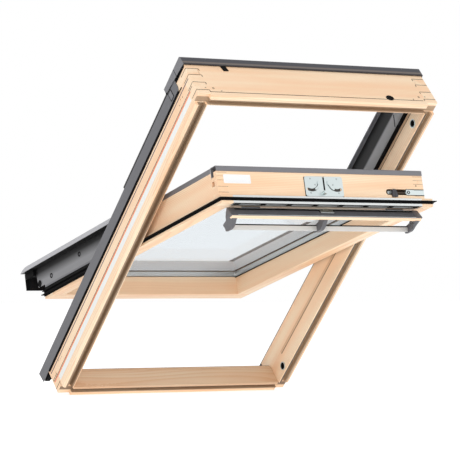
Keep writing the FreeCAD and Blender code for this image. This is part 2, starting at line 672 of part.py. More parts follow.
slot_round = BOLT_SLOT_HEIGHT / 2 - 0.1
bolt_slot = along_z([(slot_tail, slot_y0, slot_round), (STILE_X + 1, slot_y0), (STILE_X + 1, slot_y1),
                     (slot_tail, slot_y1, slot_round)], RAIL_TOP - BOLT_SLOT_DEPTH, RAIL_TOP + 1)
cover_slots = [box(rebate_x - 1, STILE_X + 1, GLASS_OUTSIDE, SASH_TIMBER_TOP + 1, z0, z0 + SHEET)
               for z0 in (SIGHT_TOP, SIGHT_BOTTOM - SHEET)]
stile = cut_all(fuse([stile_body] + fingers), cover_slots)
sash_parts["sash_right_stile"] = stile.cut(bolt_slot)
sash_parts["sash_left_stile"] = mirrored(stile)


def sash_rail(z_sight, z_rail, z_flange, side):
    """Rail drawn from its sight edge to its flange edge, less the gasket groove and the stiles' fingers."""
    z_rebate = z_sight + side * (GLASS_BITE + SEAT_PLAY)
    z_groove = z_flange - side * SASH_GROOVE_DEPTH
    corners = [(SASH_FACE, z_sight, SASH_ARRIS), (SASH_FACE, z_flange, 1), (groove_y0, z_flange), (groove_y0, z_groove),
               (groove_y1, z_groove), (groove_y1, z_flange), (FLANGE_BACK, z_flange), (FLANGE_BACK, z_rail),
               (SASH_TIMBER_TOP, z_rail), (SASH_TIMBER_TOP, z_rebate), (GLASS_SEAT, z_rebate),
               (GLASS_SEAT, z_sight)]
    rail = along_x(corners, -FLANGE_X, FLANGE_X)
    z0 = min(z_sight, z_flange) - 1
    z1 = max(z_sight, z_flange) + 1
    end_block = box(STILE_X, FLANGE_X + 1, FLANGE_BACK, SASH_TIMBER_TOP + 1, z0, z1)
    side_groove = box(FLANGE_X - SASH_GROOVE_DEPTH, FLANGE_X + 1, groove_y0, groove_y1, z0, z1)
    cuts = [end_block, side_groove] + fingers
    return cut_all(rail, cuts + [mirrored(tool) for tool in cuts])


top_rail = sash_rail(SIGHT_TOP, RAIL_TOP, FLANGE_TOP, 1)
vent_space = box(-VENT_HALF, VENT_HALF, SASH_FACE - 1, FLANGE_BACK + 1, RAIL_TOP, FLANGE_TOP + 1)
sash_parts["sash_top_rail"] = top_rail.cut(vent_space).cut(bolt_slot)
sash_parts["sash_bottom_rail"] = sash_rail(SIGHT_BOTTOM, RAIL_BOTTOM, FLANGE_BOTTOM, -1)

# Double glazing seated in the rebates
glass_x = SIGHT_X + GLASS_BITE
glass_z0 = SIGHT_BOTTOM - GLASS_BITE
glass_z1 = SIGHT_TOP + GLASS_BITE
inner_back = GLASS_SEAT + PANE
outer_front = inner_back + GLASS_GAP
sash_parts["sash_inner_pane"] = box(-glass_x, glass_x, GLASS_SEAT, inner_back, glass_z0, glass_z1)
sash_parts["sash_outer_pane"] = box(-glass_x, glass_x, outer_front, GLASS_OUTSIDE, glass_z0, glass_z1)
edge_x = glass_x - EDGE_SET_IN
hole_x = edge_x - SPACER_WIDTH
spacer = box(-edge_x, edge_x, inner_back, outer_front, glass_z0 + EDGE_SET_IN, glass_z1 - EDGE_SET_IN)
spacer_hole = box(-hole_x, hole_x, inner_back - 1, outer_front + 1, glass_z0 + EDGE_SET_IN + SPACER_WIDTH,
                  glass_z1 - EDGE_SET_IN - SPACER_WIDTH)
sash_parts["sash_glass_spacer"] = spacer.cut(spacer_hole)

# Upper covers on the sash, flush on the timber
cover_outline = sheet([(STILE_X, SASH_TIMBER_TOP), (STILE_X, SASH_COVER_TOP, SHEET_BEND),
                       (SIGHT_X, SASH_COVER_TOP, SHEET_BEND), (SIGHT_X, GLASS_OUTSIDE)], SHEET)
right_upper = along_z(cover_outline, LOWER_END_Z, SIGHT_TOP)
sash_parts["sash_right_upper_cover"] = right_upper
sash_parts["sash_left_upper_cover"] = mirrored(right_upper)
cover_head = RAIL_TOP + TOP_COVER_PROUD
top_cover_outline = sheet([(GLASS_OUTSIDE, SIGHT_TOP), (SASH_COVER_TOP, SIGHT_TOP, SHEET_BEND),
                           (SASH_COVER_TOP, cover_head, SHEET_BEND), (SASH_TIMBER_TOP, cover_head)], SHEET)
sash_parts["sash_top_cover"] = along_x(top_cover_outline, -STILE_X, STILE_X)


def nosed(under, crown, radius, x0, x1, z1):
    """Flat strip whose lower end curves down in a nose from the crown to the underside."""
    start = COVER_NOSE - LOWER_COVER_TAIL
    sweep = math.acos(1 - (crown - under) / radius)
    tip = start - radius * math.sin(sweep)
    corner = start - radius * math.tan(sweep / 2)
    return along_x([(under, tip), (crown, corner, radius), (crown, z1), (under, z1)], x0, x1)


# Lower covers: a hollow strip with a rounded nose reaches out over the frame, and a skirt hangs by the stile
skirt_x = STILE_X + SHEET
reach_x = STILE_X + LOWER_COVER_OVERHANG
hood_half = STILE_X - HOOD_SIDE_PLAY
nose_radius = (LOWER_COVER_HEIGHT ** 2 + COVER_NOSE ** 2) / (2 * LOWER_COVER_HEIGHT)
strip_outside = nosed(LOWER_COVER_UNDERSIDE, LOWER_COVER_TOP, nose_radius, SIGHT_X, reach_x, LOWER_END_Z)
soffit = LOWER_COVER_UNDERSIDE + SHEET
strip_inside = nosed(soffit, LOWER_COVER_TOP - SHEET, nose_radius - SHEET, SIGHT_X + SHEET, reach_x - SHEET,
                     LOWER_END_Z - SHEET)
over_timber = box(SIGHT_X + SHEET, STILE_X, LOWER_COVER_UNDERSIDE - 1, soffit, RAIL_BOTTOM, LOWER_END_Z - SHEET)
glass_side = box(SIGHT_X, SIGHT_X + SHEET, GLASS_OUTSIDE, soffit, SIGHT_BOTTOM, LOWER_END_Z)
sill_level = SILL_WIDTH + SILL_CLEARANCE
skirt_outline = [(LOWER_COVER_FOOT, sill_level, 2), (HOOD_FOOT, sill_level, 4),
                 (HOOD_FOOT, SKIRT_TAIL_SLANT - SKIRT_TAIL), (SASH_TIMBER_TOP, -SKIRT_TAIL), (soffit, -SKIRT_TAIL),
                 (soffit, LOWER_END_Z), (LOWER_COVER_FOOT, LOWER_END_Z)]
skirt = along_x(skirt_outline, STILE_X, skirt_x)
hood_space = along_x([(0, SIGHT_BOTTOM), (SASH_COVER_TOP, SIGHT_BOTTOM), (SASH_COVER_TOP, -COVER_NOSE),
                      (SASH_COVER_TOP - HOOD_CHAMFER, -HOOD_TAIL), (0, -HOOD_TAIL)], SIGHT_X - 1, hood_half)
right_lower = fuse([strip_outside.cut(strip_inside).cut(over_timber), glass_side, skirt]).cut(hood_space)
sash_parts["sash_right_lower_cover"] = right_lower
sash_parts["sash_left_lower_cover"] = mirrored(right_lower)

# Bottom cover: a hood that laps over the sill, open underneath, with black end caps
hood_outline = sheet([(GLASS_OUTSIDE, SIGHT_BOTTOM), (SASH_COVER_TOP, SIGHT_BOTTOM, SHEET_BEND),
                      (SASH_COVER_TOP, -COVER_NOSE, SHEET_BEND),
                      (SASH_COVER_TOP - HOOD_CHAMFER, -HOOD_TAIL, SHEET_BEND),
                      (HOOD_FOOT + HOOD_WALL_LIFT, -HOOD_TAIL)], -SHEET)
hood_wall = box(-hood_half, hood_half, HOOD_FOOT, SASH_COVER_TOP - SHEET / 2, RAIL_BOTTOM - SHEET, RAIL_BOTTOM)
sash_parts["sash_bottom_cover"] = fuse([along_x(hood_outline, -hood_half, hood_half), hood_wall])
cap_under = LOWER_COVER_UNDERSIDE - END_CAP_HEIGHT
cap_wall = -HOOD_TAIL + END_CAP_WALL
cap_outline = [(HOOD_FOOT + HOOD_WALL_LIFT, -HOOD_TAIL), (LOWER_COVER_UNDERSIDE, -HOOD_TAIL, 3),
               (LOWER_COVER_UNDERSIDE, -END_CAP_START), (cap_under, -END_CAP_START, 3), (cap_under, cap_wall),
               (HOOD_FOOT + HOOD_WALL_LIFT, cap_wall)]
cap = along_x(cap_outline, hood_half, STILE_X + END_CAP_REACH)
sash_parts["sash_bottom_end_caps"] = Part.makeCompound([cap, mirrored(cap)])

# Gasket all round the sash: a root in the flange groove with a fin, and a broad second fin along the lower sides
fin_x = FLANGE_X + SASH_FIN
root_x = FLANGE_X - SASH_GROOVE_DEPTH
root_y0 = groove_y0 + ROOT_PLAY
root_y1 = groove_y1 - ROOT_PLAY


def gasket_ring(reach, y0, y1):
    """Flat ring from the floor of the flange groove out past the flange's edge."""
    ring = box(-FLANGE_X - reach, FLANGE_X + reach, y0, y1, FLANGE_BOTTOM - reach, FLANGE_TOP + reach)
    hole = box(-root_x, root_x, y0 - 1, y1 + 1, FLANGE_BOTTOM + SASH_GROOVE_DEPTH, FLANGE_TOP - SASH_GROOVE_DEPTH)
    return ring.cut(hole)


seal_x = FLANGE_X + FIN_THICKNESS
second_fin = FLANGE_BACK - FIN_THICKNESS / 2
side_seal = along_z([(STILE_X, FLANGE_BACK), (FLANGE_X, FLANGE_BACK), (FLANGE_X, root_y1), (seal_x, root_y1),
                     (seal_x, second_fin), (fin_x, second_fin), (fin_x, second_fin + FIN_THICKNESS),
                     (seal_x, second_fin + FIN_THICKNESS), (STILE_X + FIN_THICKNESS, LOWER_COVER_FOOT, 2),
                     (STILE_X, LOWER_COVER_FOOT)], FLANGE_BOTTOM, PIVOT_Z - LOWER_SEAL_GAP)
sash_parts["sash_gasket"] = fuse([gasket_ring(FIN_THICKNESS, root_y0, root_y1),
                                  gasket_ring(SASH_FIN, root_y1 - FIN_THICKNESS, root_y1),
                                  side_seal, mirrored(side_seal)])

# Vent profile: aluminium strips above and below the gasket, and a notched channel open to the room
channel_top = FLANGE_TOP - SASH_GROOVE_DEPTH - VENT_WALL
vent_outline = [
    (SASH_FACE, FLANGE_TOP, 1), (groove_y0, FLANGE_TOP), (groove_y0, FLANGE_TOP - SASH_GROOVE_DEPTH),
    (groove_y1, FLANGE_TOP - SASH_GROOVE_DEPTH), (groove_y1, FLANGE_TOP), (FLANGE_BACK, FLANGE_TOP, 1),
    (FLANGE_BACK, RAIL_TOP), (SASH_FACE, RAIL_TOP), (SASH_FACE, RAIL_TOP + VENT_WALL),
    (SASH_FACE + VENT_DEPTH, RAIL_TOP + VENT_WALL), (SASH_FACE + VENT_DEPTH, channel_top), (SASH_FACE, channel_top)]
vent_profile = along_x(vent_outline, -VENT_HALF, VENT_HALF)
for i in range(VENT_SLOT_COUNT):
    slot_x = (i - (VENT_SLOT_COUNT - 1) / 2) * VENT_SLOT_PITCH - VENT_SLOT_LENGTH / 2
    notch = box(slot_x, slot_x + VENT_SLOT_LENGTH, SASH_FACE - 1, SASH_FACE + VENT_SLOT_DEPTH, channel_top - 1,
                channel_top + VENT_SLOT_HEIGHT)
    vent_profile = vent_profile.cut(notch)
sash_parts["sash_vent_profile"] = vent_profile


def arc_slot(radius, width, start, end, z0, z1):
    """Curved bar with round ends, about the centre of the lock's left-hand arc."""
    def at(reach, degrees):
        a = math.radians(degrees)
        return V(-HOOK_ARC_X + reach * math.cos(a), LOCK_Y + HOOK_ARC_Y + reach * math.sin(a), z0)

    def end_point(degrees, side):
        a = math.radians(degrees)
        return at(radius, degrees) + V(-math.sin(a), math.cos(a), 0) * (side * width / 2)

    outer = radius + width / 2
    inner = radius - width / 2
    middle = (start + end) / 2
    edges = [Part.Arc(at(outer, start), at(outer, middle), at(outer, end)).toShape(),
             Part.Arc(at(outer, end), end_point(end, 1), at(inner, end)).toShape(),
             Part.Arc(at(inner, end), at(inner, middle), at(inner, start)).toShape(),
             Part.Arc(at(inner, start), end_point(start, -1), at(outer, start)).toShape()]
    return Part.Face(Part.Wire(edges)).extrude(V(0, 0, z1 - z0))


# Lock plate with two curved slots, the hooks that show in them, and the latch pin at its foot
lock_z = RAIL_TOP + LOCK_PLATE
half_width = LOCK_WIDTH / 2
lock_y0 = LOCK_Y - LOCK_HEIGHT / 2
lock_y1 = LOCK_Y + LOCK_HEIGHT / 2
lock = along_z([(-half_width, lock_y0, LOCK_CORNER), (half_width, lock_y0, LOCK_CORNER),
                (half_width, lock_y1, LOCK_CORNER), (-half_width, lock_y1, LOCK_CORNER)], RAIL_TOP, lock_z)
hook_slot = arc_slot(HOOK_ARC_RADIUS, HOOK_SLOT_WIDTH, HOOK_SLOT_START, HOOK_SLOT_END, RAIL_TOP - 1, lock_z + 1)
hook_bar = arc_slot(HOOK_ARC_RADIUS, HOOK_SLOT_WIDTH - 2 * HOOK_PLAY, HOOK_START, HOOK_SLOT_END, RAIL_TOP,
                    lock_z + HOOK_PROUD)
claw_angle = math.radians(HOOK_SLOT_END)
claw = rod_z(CLAW_RADIUS, -HOOK_ARC_X + HOOK_ARC_RADIUS * math.cos(claw_angle),
             LOCK_Y + HOOK_ARC_Y + HOOK_ARC_RADIUS * math.sin(claw_angle), lock_z, lock_z + HOOK_PROUD)
hook = fuse([hook_bar, claw])
centre_y0 = LOCK_Y + CENTRE_SLOT_GAP
centre_slot = box(-CENTRE_SLOT_WIDTH / 2, CENTRE_SLOT_WIDTH / 2, centre_y0, lock_y1 + 1, RAIL_TOP - 1, lock_z + 1)
centre_slot = centre_slot.common(box(-half_width, half_width, 0, centre_y0 + CENTRE_SLOT_LENGTH - CENTRE_SLOT_GAP,
                                     RAIL_TOP - 1, lock_z + 1))
lock = cut_all(lock, [hook_slot, mirrored(hook_slot), centre_slot])
hooks = Part.makeCompound([hook, mirrored(hook)])
latch = rod_z(LATCH_RADIUS, -LATCH_OFFSET, lock_y0 + 2 * LATCH_RADIUS, lock_z, RAIL_TOP + LATCH_LENGTH)
lock = fuse([lock, latch])
lock.translate(V(LOCK_X, 0, 0))
hooks.translate(V(LOCK_X, 0, 0))
sash_parts["sash_lock_plate"] = lock
sash_parts["sash_lock_hooks"] = hooks

# Pivot plates on the stiles, each with its pin
pin_end = ear_x + FRAME_EAR + PIN_PROUD
plate_y = PIVOT_Y - SASH_PLATE_HALF
plate_z0 = PIVOT_Z - SASH_PLATE_HALF
plate_z1 = PIVOT_Z + SASH_PLATE_HALF
pivot_plate = along_x([(plate_y, plate_z0, SASH_PLATE_ROUNDING), (SASH_COVER_TOP, plate_z0), (SASH_COVER_TOP, plate_z1),
                       (plate_y, plate_z1, SASH_PLATE_ROUNDING)], STILE_X, STILE_X + SASH_PLATE)
pin = rod_x(PIN_RADIUS, STILE_X + SASH_PLATE, pin_end, PIVOT_Y, PIVOT_Z)
pivot_plate = fuse([pivot_plate, pin])
sash_parts["sash_right_pivot"] = pivot_plate
sash_parts["sash_left_pivot"] = mirrored(pivot_plate)

# Guide of the barrel bolt at the end of the slot
guide_x = STILE_X - BOLT_GUIDE_LENGTH
guide = box(guide_x, STILE_X, slot_y0, slot_y1, RAIL_TOP - BOLT_SLOT_DEPTH, RAIL_TOP)
guide = guide.cut(rod_x(BOLT_RADIUS + BOLT_PLAY, guide_x - 1, STILE_X + 1, BOLT_Y, BOLT_Z))
sash_parts["sash_bolt_guide"] = guide

# Blank type plate on the top rail
type_x0 = -STILE_X + TYPE_PLATE_SET_IN
type_x1 = type_x0 + TYPE_PLATE_WIDTH
type_y1 = TYPE_PLATE_Y + TYPE_PLATE_HEIGHT
type_plate = [(type_x0, TYPE_PLATE_Y, TYPE_PLATE_CORNER), (type_x1, TYPE_PLATE_Y, TYPE_PLATE_CORNER),
              (type_x1, type_y1, TYPE_PLATE_CORNER), (type_x0, type_y1, TYPE_PLATE_CORNER)]
sash_parts["sash_type_plate"] = along_z(type_plate, RAIL_TOP, RAIL_TOP + TYPE_PLATE_THICKNESS)

# Barrel bolt with its thick head and its slanted thumb knob
head_x = slot_tail + BOLT_HEAD_PLAY
knob_x = head_x + BOLT_HEAD_LENGTH - KNOB_LAP
bolt_rod = rod_x(BOLT_RADIUS, head_x + BOLT_HEAD_LENGTH, STILE_X - 1, BOLT_Y, BOLT_Z)
bolt_head = rod_x(BOLT_HEAD_RADIUS, head_x, head_x + BOLT_HEAD_LENGTH, BOLT_Y, BOLT_Z)
bolt_head = bolt_head.makeChamfer(BOLT_HEAD_CHAMFER, [bolt_head.Edges[0], bolt_head.Edges[2]])
knob_foot = RAIL_TOP + KNOB_LIFT
knob = along_z([(knob_x, BOLT_Y + KNOB_TOP, KNOB_ROUNDING), (knob_x + KNOB_WIDTH, BOLT_Y + KNOB_TOP, KNOB_ROUNDING),
                (knob_x + KNOB_WIDTH + KNOB_SKEW, BOLT_Y - KNOB_DROP, KNOB_ROUNDING),
                (knob_x - 1, BOLT_Y - KNOB_DROP, KNOB_ROUNDING)], knob_foot, knob_foot + KNOB_HEIGHT)
neck_x = knob_x + NECK_SET_IN
neck = box(neck_x, neck_x + NECK_WIDTH, BOLT_Y - BOLT_RADIUS / 2, BOLT_Y + BOLT_RADIUS / 2, BOLT_Z, knob_foot + 1)
sash_parts["barrel_bolt"] = fuse([bolt_rod, bolt_head, neck, knob])


# Vent flap: a shell with a pine board under it
def flap_point(forward, down):
    """Y and Z of a point on the open flap, from its hinge."""
    lean = math.radians(FLAP_LEAN)
    z = HINGE_Z + forward * math.cos(lean) - down * math.sin(lean)
    y = HINGE_Y + down * math.cos(lean) + forward * math.sin(lean)
    return (y, z)


def flap_profile(corners, x0, x1):
    """Profile in the open flap's own directions, drawn out across the window."""
    placed = [flap_point(corner[0], corner[1]) + tuple(corner[2:]) for corner in corners]
    return along_x(placed, x0, x1)


flap_skin = FLAP_HALF - BRACKET_SIDE
shell = flap_profile([(-FLAP_SHELL, 0), (0, 0), (0, -FLAP_SHELL_WIDTH, FLAP_SHELL / 2),
                      (-FLAP_SHELL, -FLAP_SHELL_WIDTH)], -flap_skin, flap_skin)
knuckle_x0 = KNUCKLE_X - KNUCKLE_LENGTH / 2
knuckle_x1 = KNUCKLE_X + KNUCKLE_LENGTH / 2
knuckle = rod_x(FLAP_HINGE_RADIUS, knuckle_x0, knuckle_x1, HINGE_Y, HINGE_Z)
shell = fuse([shell, knuckle, mirrored(knuckle)])
sash_parts["flap_shell"] = shell
board_bottom = -FLAP_SHELL - FLAP_BOARD
board = flap_profile([(board_bottom, -FLAP_BOARD_START, FLAP_ROUNDING), (-FLAP_SHELL, -FLAP_BOARD_START),
                      (-FLAP_SHELL, -FLAP_SHELL_WIDTH), (board_bottom, -FLAP_SHELL_WIDTH, FLAP_ROUNDING)],
                     -flap_skin, flap_skin)
sash_parts["flap_board"] = board
bar_front = HINGE_Z + BAR_FORWARD
bar_back = bar_front - BAR_DEPTH
bar_y0 = HINGE_Y + BAR_DOWN - BAR_HEIGHT / 2
bar_y1 = bar_y0 + BAR_HEIGHT
bar = along_x([(bar_y0, bar_back, BAR_ROUNDING), (bar_y1, bar_back, BAR_ROUNDING), (bar_y1, bar_front, BAR_ROUNDING),
               (bar_y0, bar_front, BAR_ROUNDING)], -BAR_HALF, BAR_HALF)
sash_parts["control_bar"] = bar

# Brackets: each clasps the flap, bends round and down, and holds the control bar in its foot
bracket_foot = bar_y0 - BRACKET_SOLE
bracket_heel = bar_back - BRACKET_HEEL
bracket_outline = [
    flap_point(BRACKET_PROUD, -BRACKET_HEAD), flap_point(BRACKET_PROUD, -FLAP_SHELL_WIDTH),
    flap_point(board_bottom, -FLAP_SHELL_WIDTH), (bracket_foot, bar_front + BRACKET_TOE, BRACKET_BEND),
    (bracket_foot, bracket_heel, BRACKET_ROUNDING), (bar_y1 + BRACKET_LIP, bracket_heel, BRACKET_ROUNDING),
    (bar_y1 + BRACKET_WAIST, bar_front + BRACKET_INSTEP, BRACKET_THROAT),
    flap_point(board_bottom - BRACKET_BACK, -FLAP_BOARD_START)]
foot_x = BRACKET_INNER + BRACKET_FOOT_WIDTH
end_plan = [(BRACKET_INNER, FRAME_DEPTH), (FLAP_HALF, FRAME_DEPTH), (FLAP_HALF, BRACKET_TAPER_START, BRACKET_THROAT),
            (foot_x, BRACKET_TAPER_END, BRACKET_THROAT), (foot_x, bracket_foot - 1), (BRACKET_INNER, bracket_foot - 1)]
bar_hole = box(-BAR_HALF, BAR_HALF, bar_y0, bar_y1, bar_back, bar_front)
clasped = [shell, board, bar_hole]
right_bracket = along_x(bracket_outline, BRACKET_INNER, FLAP_HALF)
right_bracket = cut_all(right_bracket.common(along_z(end_plan, 0, WINDOW_LENGTH)), clasped)
centre_outline = [flap_point(board_bottom, -FLAP_SHELL_WIDTH)] + bracket_outline[3:]
centre_bracket = along_x(centre_outline, CENTRE_BRACKET_X - CENTRE_BRACKET_HALF, CENTRE_BRACKET_X + CENTRE_BRACKET_HALF)
centre_bracket = cut_all(centre_bracket, clasped)
sash_parts["flap_brackets"] = Part.makeCompound([right_bracket, mirrored(right_bracket), centre_bracket])

# Link plate on the flap, with a neck that runs up to the lock
link_foot = flap_profile([(0, -LINK_FOOT), (LINK_THICKNESS, -LINK_FOOT), (LINK_THICKNESS, -LINK_SHOULDER),
                          (0, -LINK_SHOULDER)], LOCK_X - LINK_HALF, LOCK_X + LINK_HALF)
link_neck = flap_profile([(0, -LINK_SHOULDER), (LINK_THICKNESS, -LINK_SHOULDER), (LINK_THICKNESS, -LINK_TOP),
                          (0, -LINK_TOP)], LOCK_X - LINK_NECK_HALF, LOCK_X + LINK_NECK_HALF)
sash_parts["flap_link"] = fuse([link_foot, link_neck])


def set_in_place(shape):
    """Lean the window back into the roof, with the sill's outer face at the origin."""
    placed = shape.copy()
    placed.translate(V(0, -ORIGIN_DEPTH, 0))
    placed.rotate(V(0, 0, 0), V(1, 0, 0), 90 - ROOF_PITCH)
    return placed


def swing_open(shape):
    """Turn a piece of the closed sash about the pivots."""
    swung = shape.copy()
    swung.rotate(V(0, PIVOT_Y, PIVOT_Z), V(1, 0, 0), OPEN_ANGLE)
    return swung


os.makedirs("parts", exist_ok=True)
for name, shape in frame_parts.items():
    set_in_place(shape).exportStep("parts/" + name + ".step")
for name, shape in sash_parts.items():
    set_in_place(swing_open(shape)).exportStep("parts/" + name + ".step")
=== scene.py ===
"""Dressing of the centre pivot roof window: finishes, small pieces, stage, lamps and camera.

The frame leans back 45 degrees. The sash is tilted open 31 degrees more about its pivots.
Lengths are in metres. A place on the window is in millimetres, as measured on the closed window:
across from the middle (X), out from the room face (Y), and up the slope from the sill's outer face (Z).
"""
import math

import bmesh
import bpy
from mathutils import Matrix, Vector


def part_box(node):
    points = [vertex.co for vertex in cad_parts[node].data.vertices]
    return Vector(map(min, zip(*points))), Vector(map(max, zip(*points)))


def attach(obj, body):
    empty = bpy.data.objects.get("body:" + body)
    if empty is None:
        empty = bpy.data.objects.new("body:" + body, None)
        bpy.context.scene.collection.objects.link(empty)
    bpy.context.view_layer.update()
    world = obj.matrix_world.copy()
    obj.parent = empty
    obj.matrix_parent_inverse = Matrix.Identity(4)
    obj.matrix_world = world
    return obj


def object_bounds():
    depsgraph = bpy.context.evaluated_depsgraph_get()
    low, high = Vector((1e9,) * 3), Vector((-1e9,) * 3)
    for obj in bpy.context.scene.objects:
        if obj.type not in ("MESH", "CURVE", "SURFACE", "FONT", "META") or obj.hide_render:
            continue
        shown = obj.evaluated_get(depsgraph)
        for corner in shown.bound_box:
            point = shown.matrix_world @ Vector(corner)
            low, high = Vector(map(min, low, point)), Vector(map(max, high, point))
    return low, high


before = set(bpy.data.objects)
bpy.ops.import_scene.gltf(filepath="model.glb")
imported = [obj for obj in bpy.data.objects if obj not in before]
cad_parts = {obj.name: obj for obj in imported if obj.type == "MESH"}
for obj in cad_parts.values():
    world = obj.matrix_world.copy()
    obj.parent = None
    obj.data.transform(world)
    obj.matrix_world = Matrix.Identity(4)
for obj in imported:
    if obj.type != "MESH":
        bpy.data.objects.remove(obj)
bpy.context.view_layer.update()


# The pine members of frame, sash and flap. Slow-grown pine, planed, comb-jointed at the corners and
# lacquered clear. The eye gets pale cream with honey growth lines a few millimetres apart that run
# along each member, a silky sheen, and no open pores.
def linear(hex_colour):
    """Linear colour for an sRGB hex value."""
    channels = [int(hex_colour[i:i + 2], 16) / 255 for i in (1, 3, 5)]
    return [c / 12.92 if c <= 0.04045 else ((c + 0.055) / 1.055) ** 2.4 for c in channels] + [1.0]


def add(tree, kind, inputs=None, **settings):
    """Adds a node with its settings, values and links, and returns it."""
    node = tree.nodes.new(kind)
    for key, value in settings.items():
        setattr(node, key, value)
    for key, value in (inputs or {}).items():
        if isinstance(value, bpy.types.NodeSocket):
            tree.links.new(value, node.inputs[key])
        else:
            node.inputs[key].default_value = value
    return node


def new_material(name):
    """An empty material: itself, its node tree and its surface shader."""
    material = bpy.data.materials.new(name)
    material.use_nodes = True
    tree = material.node_tree
    return material, tree, tree.nodes["Principled BSDF"]


def finish_node(name, material):
    """Gives a CAD part its finish."""
    for material_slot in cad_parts[name].material_slots:
        material_slot.material = material


MM = 0.001
FRAME_LEAN = math.radians(45)
SASH_TILT = math.radians(31)
SASH_LEAN = FRAME_LEAN + SASH_TILT
SILL_DEPTH = 78.9
PIVOT = Matrix.Translation((0, 141, 589))
ON_FRAME = (Matrix.Rotation(FRAME_LEAN, 4, "X") @ Matrix.Scale(MM, 4)
            @ Matrix.Translation((0, -SILL_DEPTH / 2, 0)))
ON_SASH = ON_FRAME @ PIVOT @ Matrix.Rotation(SASH_TILT, 4, "X") @ PIVOT.inverted()


def window_place(tree, placed):
    """Place on the closed window in millimetres, split into across, out and up."""
    place = add(tree, "ShaderNodeTexCoord")
    back = placed.inverted()
    closed = add(tree, "ShaderNodeMapping", {"Vector": place.outputs["Object"], "Scale": back.to_scale(),
                                             "Rotation": back.to_euler(), "Location": back.translation})
    return add(tree, "ShaderNodeSeparateXYZ", {"Vector": closed.outputs["Vector"]})


def within(tree, apart, *ranges):
    """1 inside a part of the closed window and 0 outside it.

    A range is an axis and four places: it rises between the first two and falls between the last two."""
    mask = None
    for axis, outside, inside, last_inside, last_outside in ranges:
        for start, end in ((outside, inside), (last_outside, last_inside)):
            edge = add(tree, "ShaderNodeMapRange", {"Value": apart.outputs[axis], "From Min": start,
                                                    "From Max": end})
            if mask:
                edge = add(tree, "ShaderNodeMath", {0: mask.outputs[0], 1: edge.outputs["Result"]},
                           operation="MULTIPLY")
            mask = edge
    return mask.outputs[0]


def shaded(tree, colour, placed, shades):
    """Lays shades over a colour. A shade is its strength, its colour and the ranges it lies within."""
    if not shades:
        return colour
    apart = window_place(tree, placed)
    for strength, hex_colour, *ranges in shades:
        amount = add(tree, "ShaderNodeMath", {0: within(tree, apart, *ranges), 1: strength},
                     operation="MULTIPLY")
        laid = add(tree, "ShaderNodeMix", {"Factor": amount.outputs["Value"], "A": colour,
                                           "B": linear(hex_colour)}, data_type="RGBA")
        colour = laid.outputs["Result"]
    return colour


CREAM, HONEY, LATE_WOOD, FIBRE_TINT = "#FFE9CA", "#FBD4AE", "#EAB78C", "#F2C8A4"
GROWTH_LINE = 4.2 * MM
LATE_WOOD_START = 0.45
LATE_WOOD_STRENGTH = 0.62
WAVE_LENGTH = 0.314  # metres between two rings of the wave texture at a scale of 1
SWAY = 34 * MM  # how far the growth lines wander over the length of a member
SWAY_SCALE = (9, 9, 1.1)
FIBRE = 0.6 * MM  # drawn coarser than real fibres so that it shows
FIBRE_LENGTH = 20 * MM
FIBRE_STRENGTH = 0.22
TONE_SCALE = (30, 30, 2.2)  # bands of cream and honey, 33 mm across the grain and 450 mm along it
SILKY = (0.42, 0.56)


